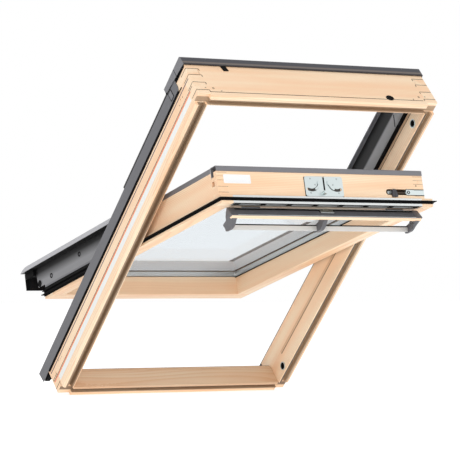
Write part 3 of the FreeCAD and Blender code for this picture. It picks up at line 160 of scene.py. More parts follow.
def pine(name, lean, across, pith, placed, shades):
    """Lacquered pine with its grain along X (across) or up the lean. The pith is the middle of its rings.

    The shades are painted shade in grooves, corners and recesses and on faces under other parts."""
    material, tree, surface = new_material(name)
    place = add(tree, "ShaderNodeTexCoord")
    upright = add(tree, "ShaderNodeMapping", {"Vector": place.outputs["Object"],
                                              "Rotation": (-lean, 0, 0)})
    turn = (0, math.radians(90), 0) if across else (0, 0, 0)
    grain = add(tree, "ShaderNodeMapping", {"Vector": upright.outputs["Vector"], "Rotation": turn,
                                            "Location": pith})

    drift = add(tree, "ShaderNodeMapping", {"Vector": grain.outputs["Vector"], "Scale": SWAY_SCALE})
    wander = add(tree, "ShaderNodeTexNoise", {"Vector": drift.outputs["Vector"], "Scale": 1.0,
                                              "Detail": 2.0})
    shift = add(tree, "ShaderNodeVectorMath", {0: wander.outputs["Color"], 1: (0.5, 0.5, 0.5)},
                operation="SUBTRACT")
    sway = add(tree, "ShaderNodeVectorMath", {0: shift.outputs["Vector"], "Scale": SWAY},
               operation="SCALE")
    warped = add(tree, "ShaderNodeVectorMath", {0: grain.outputs["Vector"], 1: sway.outputs["Vector"]},
                 operation="ADD")
    rings = add(tree, "ShaderNodeTexWave", {"Vector": warped.outputs["Vector"],
                                            "Scale": WAVE_LENGTH / GROWTH_LINE, "Distortion": 0.6,
                                            "Detail": 2.0, "Detail Scale": 2.0},
                wave_type="RINGS", rings_direction="Z", wave_profile="SAW")
    late_wood = add(tree, "ShaderNodeMapRange", {"Value": rings.outputs["Fac"],
                                                 "From Min": LATE_WOOD_START,
                                                 "To Max": LATE_WOOD_STRENGTH})

    stretch = add(tree, "ShaderNodeMapping", {"Vector": grain.outputs["Vector"],
                                              "Scale": (1 / FIBRE, 1 / FIBRE, 1 / FIBRE_LENGTH)})
    fibres = add(tree, "ShaderNodeTexNoise", {"Vector": stretch.outputs["Vector"], "Scale": 1.0,
                                              "Detail": 3.0})
    threads = add(tree, "ShaderNodeMapRange", {"Value": fibres.outputs["Fac"], "From Min": 0.35,
                                               "From Max": 0.75, "To Max": FIBRE_STRENGTH})

    boards = add(tree, "ShaderNodeMapping", {"Vector": grain.outputs["Vector"], "Scale": TONE_SCALE})
    tone = add(tree, "ShaderNodeTexNoise", {"Vector": boards.outputs["Vector"], "Scale": 1.0,
                                            "Detail": 1.0})
    bands = add(tree, "ShaderNodeMapRange", {"Value": tone.outputs["Fac"], "From Min": 0.34,
                                             "From Max": 0.66})

    pale = add(tree, "ShaderNodeMix", {"Factor": bands.outputs["Result"], "A": linear(CREAM),
                                       "B": linear(HONEY)}, data_type="RGBA")
    ringed = add(tree, "ShaderNodeMix", {"Factor": late_wood.outputs["Result"],
                                         "A": pale.outputs["Result"],
                                         "B": linear(LATE_WOOD)}, data_type="RGBA")
    tinted = add(tree, "ShaderNodeMix", {"Factor": threads.outputs["Result"],
                                         "A": ringed.outputs["Result"],
                                         "B": linear(FIBRE_TINT)}, data_type="RGBA")
    tree.links.new(shaded(tree, tinted.outputs["Result"], placed, shades), surface.inputs["Base Color"])
    sheen = add(tree, "ShaderNodeMapRange", {"Value": fibres.outputs["Fac"], "To Min": SILKY[0],
                                             "To Max": SILKY[1]})
    tree.links.new(sheen.outputs["Result"], surface.inputs["Roughness"])
    raised = add(tree, "ShaderNodeBump", {"Height": fibres.outputs["Fac"], "Strength": 0.12,
                                          "Distance": 0.4 * MM})
    tree.links.new(raised.outputs["Normal"], surface.inputs["Normal"])
    surface.inputs["IOR"].default_value = 1.5
    return material


LINING_GROOVE = ("Y", -2, -1, 15, 16.5)
END_GROOVE = ("Y", -2, -1, 13, 14.5)
# Painted shade in the lining grooves of the jambs, head and sill, and in the right jamb's groove corner
# and on its step.
LEFT_GROOVE_SHADE = (0.8, "#6B5138", ("X", -382, -380.6, -358, -357), LINING_GROOVE)
RIGHT_GROOVE_SHADE = (0.6, "#7A6046", ("X", 357, 358, 380.6, 382), LINING_GROOVE)
RIGHT_CORNER_SHADE = (0.9, "#20150D", ("X", 356.5, 357, 361, 363), LINING_GROOVE, ("Z", 30, 31, 1144, 1146))
RIGHT_STEP_SHADE = (0.5, "#B98C66", ("X", 352, 353, 356, 357), ("Y", 51, 51.6, 61.8, 62),
              ("Z", 110, 111, 1140, 1141))
HEAD_GROOVE_SHADE = (0.7, "#80664D", ("Z", 1147, 1149, 1165.5, 1167), END_GROOVE)
SILL_GROOVE_SHADE = (0.8, "#4E3A2A", ("Z", 13, 15, 27, 28.5), END_GROOVE)
# Painted shade on the sill's top, where the sash shades it.
SILL_SHADE_UNDER_SASH = (0.4, "#A67C58", ("Y", -2, -1, 80, 81), ("Z", 29, 31, 40, 41))
# Painted shade on the top rail's room face under the vent profile.
VENT_SHADE = (0.75, "#5A5048", ("X", -300, -299, 299, 300), ("Y", 30, 31, 38.5, 40),
              ("Z", 1090, 1094, 1130, 1131))
# Painted shade inside the slot of the barrel bolt.
BOLT_SLOT_SHADE = (0.85, "#43342A", ("X", 200, 201, 276, 277), ("Y", 70, 71, 96, 97),
             ("Z", 1080, 1081, 1107.4, 1107.9))
upright_timbers = [
    ("frame_left_jamb", "pine of the left jamb", (0.43, 0.05, 0.3), [LEFT_GROOVE_SHADE]),
    ("frame_right_jamb", "pine of the right jamb", (-0.31, 0.07, 1.3),
     [RIGHT_GROOVE_SHADE, RIGHT_CORNER_SHADE, RIGHT_STEP_SHADE]),
    ("sash_left_stile", "pine of the left stile", (0.39, 0.06, 0.5), []),
    ("sash_right_stile", "pine of the right stile", (-0.27, 0.05, 0.1), []),
]
cross_timbers = [
    ("frame_head", "pine of the head", (-1.23, 0.09, 0.2), [HEAD_GROOVE_SHADE]),
    ("frame_sill", "pine of the sill", (0.09, 0.04, 0.9), [SILL_SHADE_UNDER_SASH, SILL_GROOVE_SHADE]),
    ("sash_top_rail", "pine of the top rail", (-1.0, 0.33, 0.4), [BOLT_SLOT_SHADE, VENT_SHADE]),
    ("sash_bottom_rail", "pine of the bottom rail", (0.02, 0.36, 0.7), []),
    ("flap_board", "pine of the flap", (-0.9, 0.5, 0.2), []),
]
for across, timbers in ((False, upright_timbers), (True, cross_timbers)):
    for node_name, material_name, pith, shades in timbers:
        lean, placed = (FRAME_LEAN, ON_FRAME) if node_name.startswith("frame") else (SASH_LEAN, ON_SASH)
        finish_node(node_name, pine(material_name, lean, across, pith, placed, shades))

# Covers, linings, casing and flashing. Roll-formed aluminium sheet, powder coated mid grey and screwed to
# the pine. The eye gets an even satin grey with a very fine orange peel. Painted light whitens the
# reveals round the glass and lightens the skirts, their hems and the lining slopes; painted shade darkens
# the casing's lip, the jamb covers and the hood, and is near black deep inside a fold.
COAT_GREY = "#77777B"
ORANGE_PEEL = 1.11 * MM
CLOUDING = 71.4 * MM
CLOUD_LIFT = 1.16
SATIN = (0.34, 0.46)


def powder_coat(name, hex_colour, placed=None, shades=()):
    """Satin powder coat with a fine orange peel. Its shades are painted light and painted shade on faces
    round a fold.
    """
    material, tree, surface = new_material(name)
    place = add(tree, "ShaderNodeTexCoord")
    peel = add(tree, "ShaderNodeTexNoise", {"Vector": place.outputs["Object"], "Scale": 1 / ORANGE_PEEL,
                                            "Detail": 2.0})
    cloud = add(tree, "ShaderNodeTexNoise", {"Vector": place.outputs["Object"], "Scale": 1 / CLOUDING,
                                             "Detail": 3.0})
    dark = linear(hex_colour)
    light = [min(1.0, c * CLOUD_LIFT) for c in dark[:3]] + [1.0]
    tint = add(tree, "ShaderNodeMix", {"Factor": cloud.outputs["Fac"], "A": dark, "B": light},
               data_type="RGBA")
    tree.links.new(shaded(tree, tint.outputs["Result"], placed, shades), surface.inputs["Base Color"])
    gloss = add(tree, "ShaderNodeMapRange", {"Value": cloud.outputs["Fac"], "To Min": SATIN[0],
                                             "To Max": SATIN[1]})
    tree.links.new(gloss.outputs["Result"], surface.inputs["Roughness"])
    raised = add(tree, "ShaderNodeBump", {"Height": peel.outputs["Fac"], "Strength": 0.08,
                                          "Distance": 0.2 * MM})
    tree.links.new(raised.outputs["Normal"], surface.inputs["Normal"])
    surface.inputs["Metallic"].default_value = 0.15
    surface.inputs["Specular IOR Level"].default_value = 0.2
    return material


WHITE, HEM_HIGHLIGHT_GREY = "#FAFAFB", "#C2C2C6"
REVEAL = ("Y", 116.5, 117, 147, 147.6)
# Painted light: the reveals round the glass are whitened.
SIDE_REVEAL_LIGHT = (0.97, WHITE, ("X", -302.6, -302.2, 302.2, 302.6), REVEAL)
END_REVEAL_LIGHT = (0.97, WHITE, ("Z", 98.2, 98.6, 1079.6, 1080), REVEAL)
# Painted shade: the inside of the hood is near black.
HOOD_INSIDE_SHADE = (0.97, "#141416", ("Z", -90, -89, 97, 97.6), ("Y", 70, 71, 145.2, 145.9))
# Painted light: the skirts are a lighter grey than the coat.
SKIRT = (1.0, "#8C8C8F", ("Y", 80, 81, 141, 143))
# Painted shade: near black under the skirt's top lip.
SKIRT_SOFFIT_SHADE = (0.98, "#070708", ("Y", 99, 128, 144.1, 144.3), ("X", -361.4, -360.6, 360.6, 361.4))
SKIRT_HEM = ("Y", 140, 141, 157, 158)
# Painted highlight along the hems of the skirts.
LEFT_HEM_HIGHLIGHT = (0.8, HEM_HIGHLIGHT_GREY, ("X", -363, -362.5, -361.4, -360.8), SKIRT_HEM)
RIGHT_HEM_HIGHLIGHT = (0.8, HEM_HIGHLIGHT_GREY, ("X", 360.8, 361.4, 362.5, 363), SKIRT_HEM)
# Painted light on the slope of each upper lining.
LINING_SLOPE_LIGHT = (1.0, "#A4A4A6", ("Y", 40, 50, 101, 104))
# Painted shade, near black, on the wall of each upper lining.
LINING_WALL_SHADE = (0.97, "#0E0E10", ("Y", 99, 107, 150.8, 151.6))
CASING_FRONT = (("X", -393, -391, 391, 393), ("Z", 1160, 1165, 1190, 1191))
# Painted shade on the casing's lip: dark grey above, brown below, near black in the gap to the pine.
CASING_LIP_PAINTED_SHADES = [
    (0.85, "#3C3C42", ("Y", 138, 139.5, 153, 154.5), *CASING_FRONT),
    (0.8, "#6E6158", ("Y", 132, 133.5, 138, 139.5), *CASING_FRONT),
    (0.9, "#2A221E", ("Y", 120, 121, 131, 133), *CASING_FRONT),
]
grey_coat = powder_coat("grey powder coated aluminium", COAT_GREY)
finish_node("frame_sill_flashing", grey_coat)
finish_node("frame_top_casing", powder_coat("casing powder coat", COAT_GREY, ON_FRAME, CASING_LIP_PAINTED_SHADES))
finish_node("sash_top_cover", powder_coat("sash top cover coat", COAT_GREY, ON_SASH, [END_REVEAL_LIGHT]))
finish_node("sash_bottom_cover", powder_coat("hood coat, painted shade inside", COAT_GREY, ON_SASH,
                                             [END_REVEAL_LIGHT, HOOD_INSIDE_SHADE]))
side_coat = powder_coat("sash side cover coat", COAT_GREY, ON_SASH, [SIDE_REVEAL_LIGHT])
for side_name in ("right", "left"):
    # Painted shade: the jamb covers get a darker copy of the grey coat.
    finish_node(f"frame_{side_name}_side_cover", powder_coat(f"{side_name} jamb cover coat, painted darker", "#68686C"))
    finish_node(f"frame_{side_name}_upper_profile",
                powder_coat(f"{side_name} lining coat", COAT_GREY, ON_FRAME, [LINING_SLOPE_LIGHT, LINING_WALL_SHADE]))
    finish_node(f"sash_{side_name}_upper_cover", side_coat)
    finish_node(f"sash_{side_name}_lower_cover",
                powder_coat(f"{side_name} skirt coat", COAT_GREY, ON_SASH,
                            [SKIRT, SKIRT_SOFFIT_SHADE, SIDE_REVEAL_LIGHT, LEFT_HEM_HIGHLIGHT, RIGHT_HEM_HIGHLIGHT]))


# Gaskets of frame and sash. Extruded EPDM rubber lips, pushed into grooves in the pine. The eye gets
# a matt black line with almost no highlight.
GRAIN_LIFT = 1.25
GRAIN_GLOSS = 0.06


def moulded(name, hex_colour, roughness, grain_size, grain_depth, shine=0.5):
    """Moulded or extruded plastic or rubber with a fine grain."""
    material, tree, surface = new_material(name)
    place = add(tree, "ShaderNodeTexCoord")
    grain = add(tree, "ShaderNodeTexNoise", {"Vector": place.outputs["Object"], "Scale": 1 / grain_size,
                                             "Detail": 3.0})
    base = linear(hex_colour)
    light = [min(1.0, c * GRAIN_LIFT + 0.004) for c in base[:3]] + [1.0]
    tint = add(tree, "ShaderNodeMix", {"Factor": grain.outputs["Fac"], "A": base, "B": light},
               data_type="RGBA")
    tree.links.new(tint.outputs["Result"], surface.inputs["Base Color"])
    raised = add(tree, "ShaderNodeBump", {"Height": grain.outputs["Fac"], "Strength": 0.25,
                                          "Distance": grain_depth})
    tree.links.new(raised.outputs["Normal"], surface.inputs["Normal"])
    gloss = add(tree, "ShaderNodeMapRange", {"Value": grain.outputs["Fac"],
                                             "To Min": roughness - GRAIN_GLOSS,
                                             "To Max": roughness + GRAIN_GLOSS})
    tree.links.new(gloss.outputs["Result"], surface.inputs["Roughness"])
    surface.inputs["Specular IOR Level"].default_value = shine
    return material


MATT = 0.05
rubber = moulded("extruded EPDM rubber", "#0C0C0D", 0.75, 1.2 * MM, 0.2 * MM, MATT)
finish_node("frame_gasket", rubber)
finish_node("sash_gasket", rubber)

# End plugs of the side covers and end caps of the hood. Moulded black polypropylene, pushed in. The eye
# gets a near black that is a little smoother than the rubber.
black_plastic = moulded("moulded black plastic", "#0B0B0C", 0.65, 0.8 * MM, 0.2 * MM, MATT)
finish_node("frame_cover_end_plugs", black_plastic)
finish_node("sash_bottom_end_caps", black_plastic)

# Shell and brackets of the vent flap. Dark grey ABS, moulded with a fine grain, which gives a soft broad
# highlight along the rounded brackets.
grey_plastic = moulded("moulded grey plastic", "#56565A", 0.45, 0.8 * MM, 0.2 * MM)
finish_node("flap_brackets", grey_plastic)
finish_node("flap_shell", grey_plastic)

# Insulation strips in the jambs. Closed cell polyethylene foam, cut to a strip and glued in. The eye gets
# a dull white with visible cells.
finish_node("frame_insulation_strips", moulded("closed cell foam", "#E2E4E3", 0.8, 1.5 * MM, 0.6 * MM))

# Type plate. A bare film of satin white polyester, glued on the top rail. The eye gets a flat pale patch
# with a soft sheen.
finish_node("sash_type_plate", moulded("satin white film", "#E4E5E6", 0.4, 0.8 * MM, 0.1 * MM))

# Control bar and glass spacer. Extruded aluminium, brushed along its length and anodised clear. The eye
# gets a pale silver with highlights drawn out across the bar.
BRUSHED = (60, 1800, 1800)  # marks 17 mm long and 0.6 mm apart
PLATED = (700, 700, 700)  # crystals of 1.4 mm, drawn coarser than real ones so that they show
MARK_DIM = 0.86
MARK_GLOSS = 0.07


def metal(name, hex_colour, roughness, lay_scale, bare=1.0, shades=()):
    """Bare, plated or anodised metal with fine marks. Less bare metal is a thicker, milkier film."""
    material, tree, surface = new_material(name)
    place = add(tree, "ShaderNodeTexCoord")
    lay = add(tree, "ShaderNodeMapping", {"Vector": place.outputs["Object"], "Scale": lay_scale})
    marks = add(tree, "ShaderNodeTexNoise", {"Vector": lay.outputs["Vector"], "Scale": 1.0,
                                             "Detail": 2.0})
    base = linear(hex_colour)
    dim = [c * MARK_DIM for c in base[:3]] + [1.0]
    tint = add(tree, "ShaderNodeMix", {"Factor": marks.outputs["Fac"], "A": dim, "B": base},
               data_type="RGBA")
    tree.links.new(shaded(tree, tint.outputs["Result"], ON_SASH, shades), surface.inputs["Base Color"])
    gloss = add(tree, "ShaderNodeMapRange", {"Value": marks.outputs["Fac"],
                                             "To Min": roughness - MARK_GLOSS,
                                             "To Max": roughness + MARK_GLOSS})
    tree.links.new(gloss.outputs["Result"], surface.inputs["Roughness"])
    raised = add(tree, "ShaderNodeBump", {"Height": marks.outputs["Fac"], "Strength": 0.06,
                                          "Distance": 0.2 * MM})
    tree.links.new(raised.outputs["Normal"], surface.inputs["Normal"])
    surface.inputs["Metallic"].default_value = bare
    return material


anodised = metal("anodised aluminium", "#D9DCDC", 0.4, BRUSHED)
finish_node("control_bar", anodised)
finish_node("sash_glass_spacer", anodised)

# Vent profile. The same anodised aluminium, screwed under the top rail, with painted shade on its room
# face where the shut flap covers it.
PROFILE_ROOM_FACE_SHADE = (0.9, "#55555A", ("Y", 30, 31, 37.8, 38.2))
finish_node("sash_vent_profile", metal("anodised vent profile", "#D9DCDC", 0.4, BRUSHED, 0.8,
                                       [PROFILE_ROOM_FACE_SHADE]))

# Fittings: lock, pivots, brackets, bushings, bolt guide and link. Pressed or turned steel, zinc plated,
# which gives a cool pale grey with a fine crystal grain.
ZINC = "#C9D2D2"
zinc = metal("zinc plated steel", ZINC, 0.36, PLATED)
for node_name in ("sash_lock_plate", "sash_lock_hooks", "frame_bolt_bushings", "frame_head_striker",
                  "frame_right_pivot_bracket", "frame_left_pivot_bracket", "sash_right_pivot",
                  "sash_left_pivot", "sash_bolt_guide", "flap_link"):
    finish_node(node_name, zinc)

# Double glazing. Clear float glass, hardly tinted. Its index is low because the pane shows what lies
# behind it and little mirror image, as a coated pane does.
glass, _, glass_surface = new_material("float glass")
glass_surface.inputs["Base Color"].default_value = linear("#F2F5F7")
glass_surface.inputs["Roughness"].default_value = 0.02
glass_surface.inputs["IOR"].default_value = 1.04
glass_surface.inputs["Transmission Weight"].default_value = 1.0
finish_node("sash_inner_pane", glass)
finish_node("sash_outer_pane", glass)


# Glue and saw lines of the frame. The comb joints at the four corners show as dark lines of glue. A saw
# kerf runs the length of each jamb and of the head, drawn as a dark strip of painted shade.
def bar(shape, across, out, up, soften=0.1, side=1):
    """A bar with softened edges. Each measure is a pair of places, and side -1 puts it on the left."""
    low, high = (Vector(corner) for corner in zip(sorted(side * place for place in across), out, up))
    spread = Matrix.Translation((low + high) / 2) @ Matrix.Diagonal((*(high - low), 1))
    corners = bmesh.ops.create_cube(shape, size=1.0, matrix=spread)["verts"]
    edges = list({edge for corner in corners for edge in corner.link_edges})
    bmesh.ops.bevel(shape, geom=edges, offset=soften, affect="EDGES", segments=1, profile=0.5,
                    material=-1)


def piece(name, shape, placed, body, finish):
    """A finished piece from a form drawn on the closed window. It rides on a body."""
    bmesh.ops.remove_doubles(shape, verts=shape.verts, dist=0.0005)
    bmesh.ops.transform(shape, matrix=placed, verts=shape.verts)
    bmesh.ops.recalc_face_normals(shape, faces=shape.faces)
    data = bpy.data.meshes.new(name)
    shape.to_mesh(data)
    shape.free()
    data.shade_smooth()
    data.set_sharp_from_angle(angle=math.radians(35))
    data.materials.append(finish)
    made = bpy.data.objects.new(name, data)
    bpy.context.collection.objects.link(made)
    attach(made, body)


HALF_WIDTH = round(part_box("frame_right_jamb")[1].x / MM, 1)
HEAD_TOP = 1178
SILL_TOP = 36
FINGER_EDGES = (27.0, 57.7, 88.0, 113.0)
FINGER_ROOT = 350
GLUE_HALF = 0.9
PROUD = 0.15
SUNK = 0.3
JAMB_FACE = (HALF_WIDTH, HALF_WIDTH + PROUD)
HEAD_FACE = (HEAD_TOP - SUNK, HEAD_TOP + PROUD)
glue_and_kerf_shade = moulded("dark glue and painted kerf shade", "#1E140D", 0.8, 0.8 * MM, 0.1 * MM, MATT)
lines = bmesh.new()
for side in (-1, 1):
    for finger in FINGER_EDGES:
        glue = (finger - GLUE_HALF, finger + GLUE_HALF)
        bar(lines, JAMB_FACE, glue, (1145, HEAD_TOP), side=side)
        bar(lines, (FINGER_ROOT, HALF_WIDTH - 0.4), glue, HEAD_FACE, side=side)
        bar(lines, (FINGER_ROOT - 1, FINGER_ROOT + 1), (finger - 8, finger), HEAD_FACE, side=side)
    for finger in FINGER_EDGES[:2]:
        bar(lines, JAMB_FACE, (finger - GLUE_HALF, finger + GLUE_HALF), (0, SILL_TOP), side=side)
    # Painted shade: the dark kerf line along each jamb.
    bar(lines, JAMB_FACE, (51.2, 53.2), (6, 1166), side=side)
# Painted shade: the dark line along the head's bead.
bar(lines, (-352, 345), (18.6, 20.6), HEAD_FACE)
piece("frame_joint_and_shade_lines", lines, ON_FRAME, "frame", glue_and_kerf_shade)

# Seals on the outer side of each jamb. A red thread seal and a dark blue tape lie in saw kerfs, and a
# black double lip of rubber fills the gap to the side cover; its black is also painted shade for that
# gap. The thread is fuzzy and dull.
red_thread = moulded("red sealing thread", "#D9593A", 0.6, 0.8 * MM, 0.2 * MM)
blue_tape = moulded("dark blue tape", "#241F45", 0.5, 0.8 * MM, 0.1 * MM)
KERF_FLOOR = HALF_WIDTH - 0.4
threads, tapes, lips = bmesh.new(), bmesh.new(), bmesh.new()
for side in (-1, 1):
    bar(threads, (KERF_FLOOR, HALF_WIDTH + 0.4), (46.4, 49.2), (8, 1150), side=side)
    bar(tapes, (KERF_FLOOR, HALF_WIDTH + 0.3), (80.6, 83.4), (8, 1168), side=side)
    bar(lips, (KERF_FLOOR, HALF_WIDTH + 1.6), (90.2, 93.0), (6, 1128), side=side)
    bar(lips, (KERF_FLOOR, HALF_WIDTH + 2.9), (93.2, 97.6), (6, 1110), side=side)
piece("jamb_red_seals", threads, ON_FRAME, "frame", red_thread)
piece("jamb_blue_tapes", tapes, ON_FRAME, "frame", blue_tape)
piece("jamb_cover_seals", lips, ON_FRAME, "frame", rubber)


# Screws that hold the frame's corners: countersunk heads with a recess, sunk in the pine. Their steel has
# a black oxide skin, so they show as dull dark dots.
def turned(shape, profile, place, axis, steps=20):
    """A turned form: (radius, height) pairs in millimetres spun about an axis through a place."""
    upright = Vector((0, 0, 1))
    stand = Matrix.Translation(place) @ upright.rotation_difference(Vector(axis)).to_matrix().to_4x4()
    points = [shape.verts.new(stand @ Vector((radius, 0, height))) for radius, height in profile]
    runs = [shape.edges.new(pair) for pair in zip(points, points[1:])]
    bmesh.ops.spin(shape, geom=points + runs, cent=place, axis=axis, angle=math.tau, steps=steps,
                   use_merge=True)
    bmesh.ops.remove_doubles(shape, verts=shape.verts, dist=0.0005)


def screw(shape, place, axis, radius):
    """A countersunk screw head: a domed rim round a sunk recess."""
    recess, rim, edge = radius * 0.45, radius * 0.55, radius * 0.9
    turned(shape, ((0, -0.6), (recess, -0.5), (rim, 0.15), (edge, 0.1), (radius, -0.4)), place, axis, 14)


HEAD_SCREWS = ((-358.7, 35.7, 2.0), (-335.3, 34.2, 3.4), (-313.3, 24, 2.2),
               (336, 34.8, 3.4), (358, 36.5, 2.2), (313, 23.8, 2.2))
JAMB_SCREWS = ((70, 1112, 1.8), (66, 1085, 1.6), (70, 93, 1.6), (76, 70, 1.6))
black_steel = moulded("black oxide screw steel", "#0D0D0E", 0.6, 0.8 * MM, 0.1 * MM, MATT)
screws = bmesh.new()
for across, out, radius in HEAD_SCREWS:
    screw(screws, (across, out, HEAD_TOP + 0.1), (0, 0, 1), radius)
for side in (-1, 1):
    for out, up, radius in JAMB_SCREWS:
        screw(screws, (side * (HALF_WIDTH + 0.1), out, up), (side, 0, 0), radius)
piece("frame_corner_screws", screws, ON_FRAME, "frame", black_steel)

# Plug in the head. A black oval plug of moulded polypropylene, pushed into the bore for a cable. Its
# thin rim stands a little proud of the pine.
PLUG_PROFILE = ((0, 0.3), (9.4, 0.4), (11.0, 0.9), (12.6, 0.8), (13.0, -0.4))
plug = bmesh.new()
turned(plug, PLUG_PROFILE, (0, 0, 0), (0, 0, 1), 28)
bmesh.ops.scale(plug, vec=(1.0, 0.8, 1.0), verts=plug.verts)
bmesh.ops.translate(plug, vec=(234, 25.4, HEAD_TOP), verts=plug.verts)
piece("head_cable_plug", plug, ON_FRAME, "frame", black_plastic)

# Clip of the casing. A black plastic tab that reaches from under the casing's lip on to the head, cut
# with slanting sides.
TAB_SLANT = 0.2
tab = bmesh.new()
bar(tab, (-276, -259), (108, 139), (HEAD_TOP - SUNK, HEAD_TOP + 2.2), 0.8)
for corner in tab.verts:
    corner.co.x += (124 - corner.co.y) * TAB_SLANT
piece("casing_clip", tab, ON_FRAME, "frame", black_plastic)

# Ends of the casing. Black rubber strips are painted shade in the gap to each jamb and along the casing's
# own seam, and a coated sheet clip on a dark bed holds its tongue.
gaps, clip_edges, clip_plates = bmesh.new(), bmesh.new(), bmesh.new()
for side in (-1, 1):
    bar(gaps, (389.7, 391.4), (121.4, 126.4), (1118, 1177.5), side=side)
    bar(gaps, (391.5, 394.2), (136.6, 141.0), (1060.8, 1065.5), side=side)
    bar(gaps, (393.8, 394.3), (126.5, 156.5), (1134.2, 1135.6), side=side)
    bar(clip_edges, (391.4, 392.1), (104, 133), (1064.5, 1085.5), 0.2, side)
    bar(clip_plates, (391.4, 392.6), (106.2, 130.8), (1067, 1083), 0.5, side)
piece("casing_end_gaps", gaps, ON_FRAME, "frame", rubber)
piece("casing_clip_edges", clip_edges, ON_FRAME, "frame", black_plastic)
piece("casing_clip_plates", clip_plates, ON_FRAME, "frame", grey_coat)

# Seams of the upper linings. A black seal runs where each lining leaves the pine step, and the sheet is
# lapped near the head with a slanting black joint.
SLOPE_TURN = Matrix.Rotation(math.radians(26.6), 4, "Z")
LAP_SLANT = Matrix.Rotation(math.radians(53), 4, "X")
LAP_PLACE = Matrix.Translation((351.3, 80, 1024)) @ SLOPE_TURN @ LAP_SLANT
seams = bmesh.new()
for side in (-1, 1):
    bar(seams, (353.2, 354.0), (50.6, 51.9), (112, 1144), side=side)
    others = set(seams.verts)
    bar(seams, (-0.6, 0.2), (0, 36), (-1.1, 1.1))
    lap = [corner for corner in seams.verts if corner not in others]
    bmesh.ops.transform(seams, matrix=Matrix.Diagonal((side, 1, 1, 1)) @ LAP_PLACE, verts=lap)
piece("lining_seams", seams, ON_FRAME, "frame", rubber)

# Collars of the two bushings in the right jamb. Turned zinc rings, pressed into the pine, each with a
# black plastic throat that the barrel bolt passes through; the throat's black lines the bore as painted
# shade.
COLLAR_PROFILE = ((10.2, -0.2), (10.4, 1.0), (11.4, 1.4), (12.8, 1.1), (13.2, -0.2))
THROAT_PROFILE = ((0, -9.6), (5.8, -9.6), (5.8, 0.6), (6.2, 0.9), (10.3, 1.0), (10.5, -0.2))
JAMB_ROOM_SIDE = 353.2
collars, throats = bmesh.new(), bmesh.new()
for out, up in ((23.1, 1088.8), (20.0, 90.0)):
    turned(collars, COLLAR_PROFILE, (JAMB_ROOM_SIDE, out, up), (-1, 0, 0), 28)
    turned(throats, THROAT_PROFILE, (JAMB_ROOM_SIDE, out, up), (-1, 0, 0), 28)
piece("bushing_collars", collars, ON_FRAME, "frame", zinc)
piece("bushing_throats", throats, ON_FRAME, "frame", black_plastic)

# Glazing strips. Wedge seals of EPDM that press the glass from the room side and from outside, flush
# with the edge of the rebate.
LEFT, RIGHT, BOTTOM, TOP = -301.5, 301.5, 96.0, 1075.0
IN, OVER = 2.5, 0.5
strips = bmesh.new()
for strip in ((91.2, 93.2), (115.6, 116.8)):
    bar(strips, (LEFT - OVER, LEFT + IN), strip, (BOTTOM, TOP), 0.4)
    bar(strips, (RIGHT - IN, RIGHT + OVER), strip, (BOTTOM, TOP), 0.4)
    bar(strips, (LEFT, RIGHT), strip, (BOTTOM - OVER, BOTTOM + IN), 0.4)
    bar(strips, (LEFT, RIGHT), strip, (TOP - IN, TOP + OVER), 0.4)
piece("glazing_seals", strips, ON_SASH, "sash", rubber)

# Comb joints of the sash. The fingers of rail and stile are glued and planed flush, so that five dark
# glue lines show at each end of the top rail.
RAIL_TOP = 1108.3
RAIL_FINGERS = (74.0, 90.0, 108.0, 119.0, 129.7)
FINE_GLUE_HALF = 0.35
combs = bmesh.new()
for side in (-1, 1):
    for finger in RAIL_FINGERS:
        bar(combs, (303, 335.3), (finger - FINE_GLUE_HALF, finger + FINE_GLUE_HALF),
            (RAIL_TOP - SUNK, RAIL_TOP + 0.12), side=side)
piece("sash_joint_lines", combs, ON_SASH, "sash", glue_and_kerf_shade)

# Screw in the right end of the top rail. A blackened steel screw through the corner joint, with its
# countersunk head flush in the pine.
pin = bmesh.new()
screw(pin, (311, 103.3, RAIL_TOP + 0.1), (0, 0, 1), 2.6)
piece("top_rail_screw", pin, ON_SASH, "sash", black_steel)

# Lock. A brown black plastic tray behind the zinc plate closes its slots, and six steel rivets hold
# the plate. A small bent wire eye stands at the foot of the middle slot, which is lined in black.
PLATE_TOP = RAIL_TOP + 2.2
RIVETS = ((-40, 117), (46, 117), (-42.3, 76.6), (48.3, 76.6), (-26, 100), (32, 100))
EYE_PROFILE = ((3.2, 0), (4.0, 1.2), (5.2, 1.2), (6.0, 0), (5.2, -1.2), (4.0, -1.2), (3.2, 0))
tray = bmesh.new()
bar(tray, (-50, 56), (72, 121), (RAIL_TOP - 0.2, RAIL_TOP + 0.25))
piece("lock_case_tray", tray, ON_SASH, "sash",
      moulded("brown black lock case", "#2E2A26", 0.5, 1.0 * MM, 0.2 * MM))
rivets = bmesh.new()
for across, out in RIVETS:
    screw(rivets, (across, out, PLATE_TOP), (0, 0, 1), 2.4)
piece("lock_rivets", rivets, ON_SASH, "sash",
      metal("grey rivet steel", "#8E9494", 0.4, PLATED))
latch = bmesh.new()
turned(latch, EYE_PROFILE, (2.0, 77.0, RAIL_TOP + 5.0), (0.2, 0.5, 0.84), 24)
piece("lock_latch_wire", latch, ON_SASH, "sash", zinc)
slot_lining = bmesh.new()
bar(slot_lining, (0.4, 5.4), (84, 121), (RAIL_TOP + 1.6, RAIL_TOP + 2.3), 0.2)
piece("lock_centre_slot", slot_lining, ON_SASH, "sash", black_plastic)

# Bed of the lock plate. A thin black rubber gasket between plate and pine, which shows as a dark line
# along the plate's left and lower edges.
bed = bmesh.new()
bar(bed, (-60.0, -57.0), (66.0, 122.0), (RAIL_TOP - 0.2, RAIL_TOP + 1.4), 0.4)
bar(bed, (-60.0, 66.0), (65.4, 67.6), (RAIL_TOP - 0.2, RAIL_TOP + 1.4), 0.4)
piece("lock_plate_gasket", bed, ON_SASH, "sash", rubber)

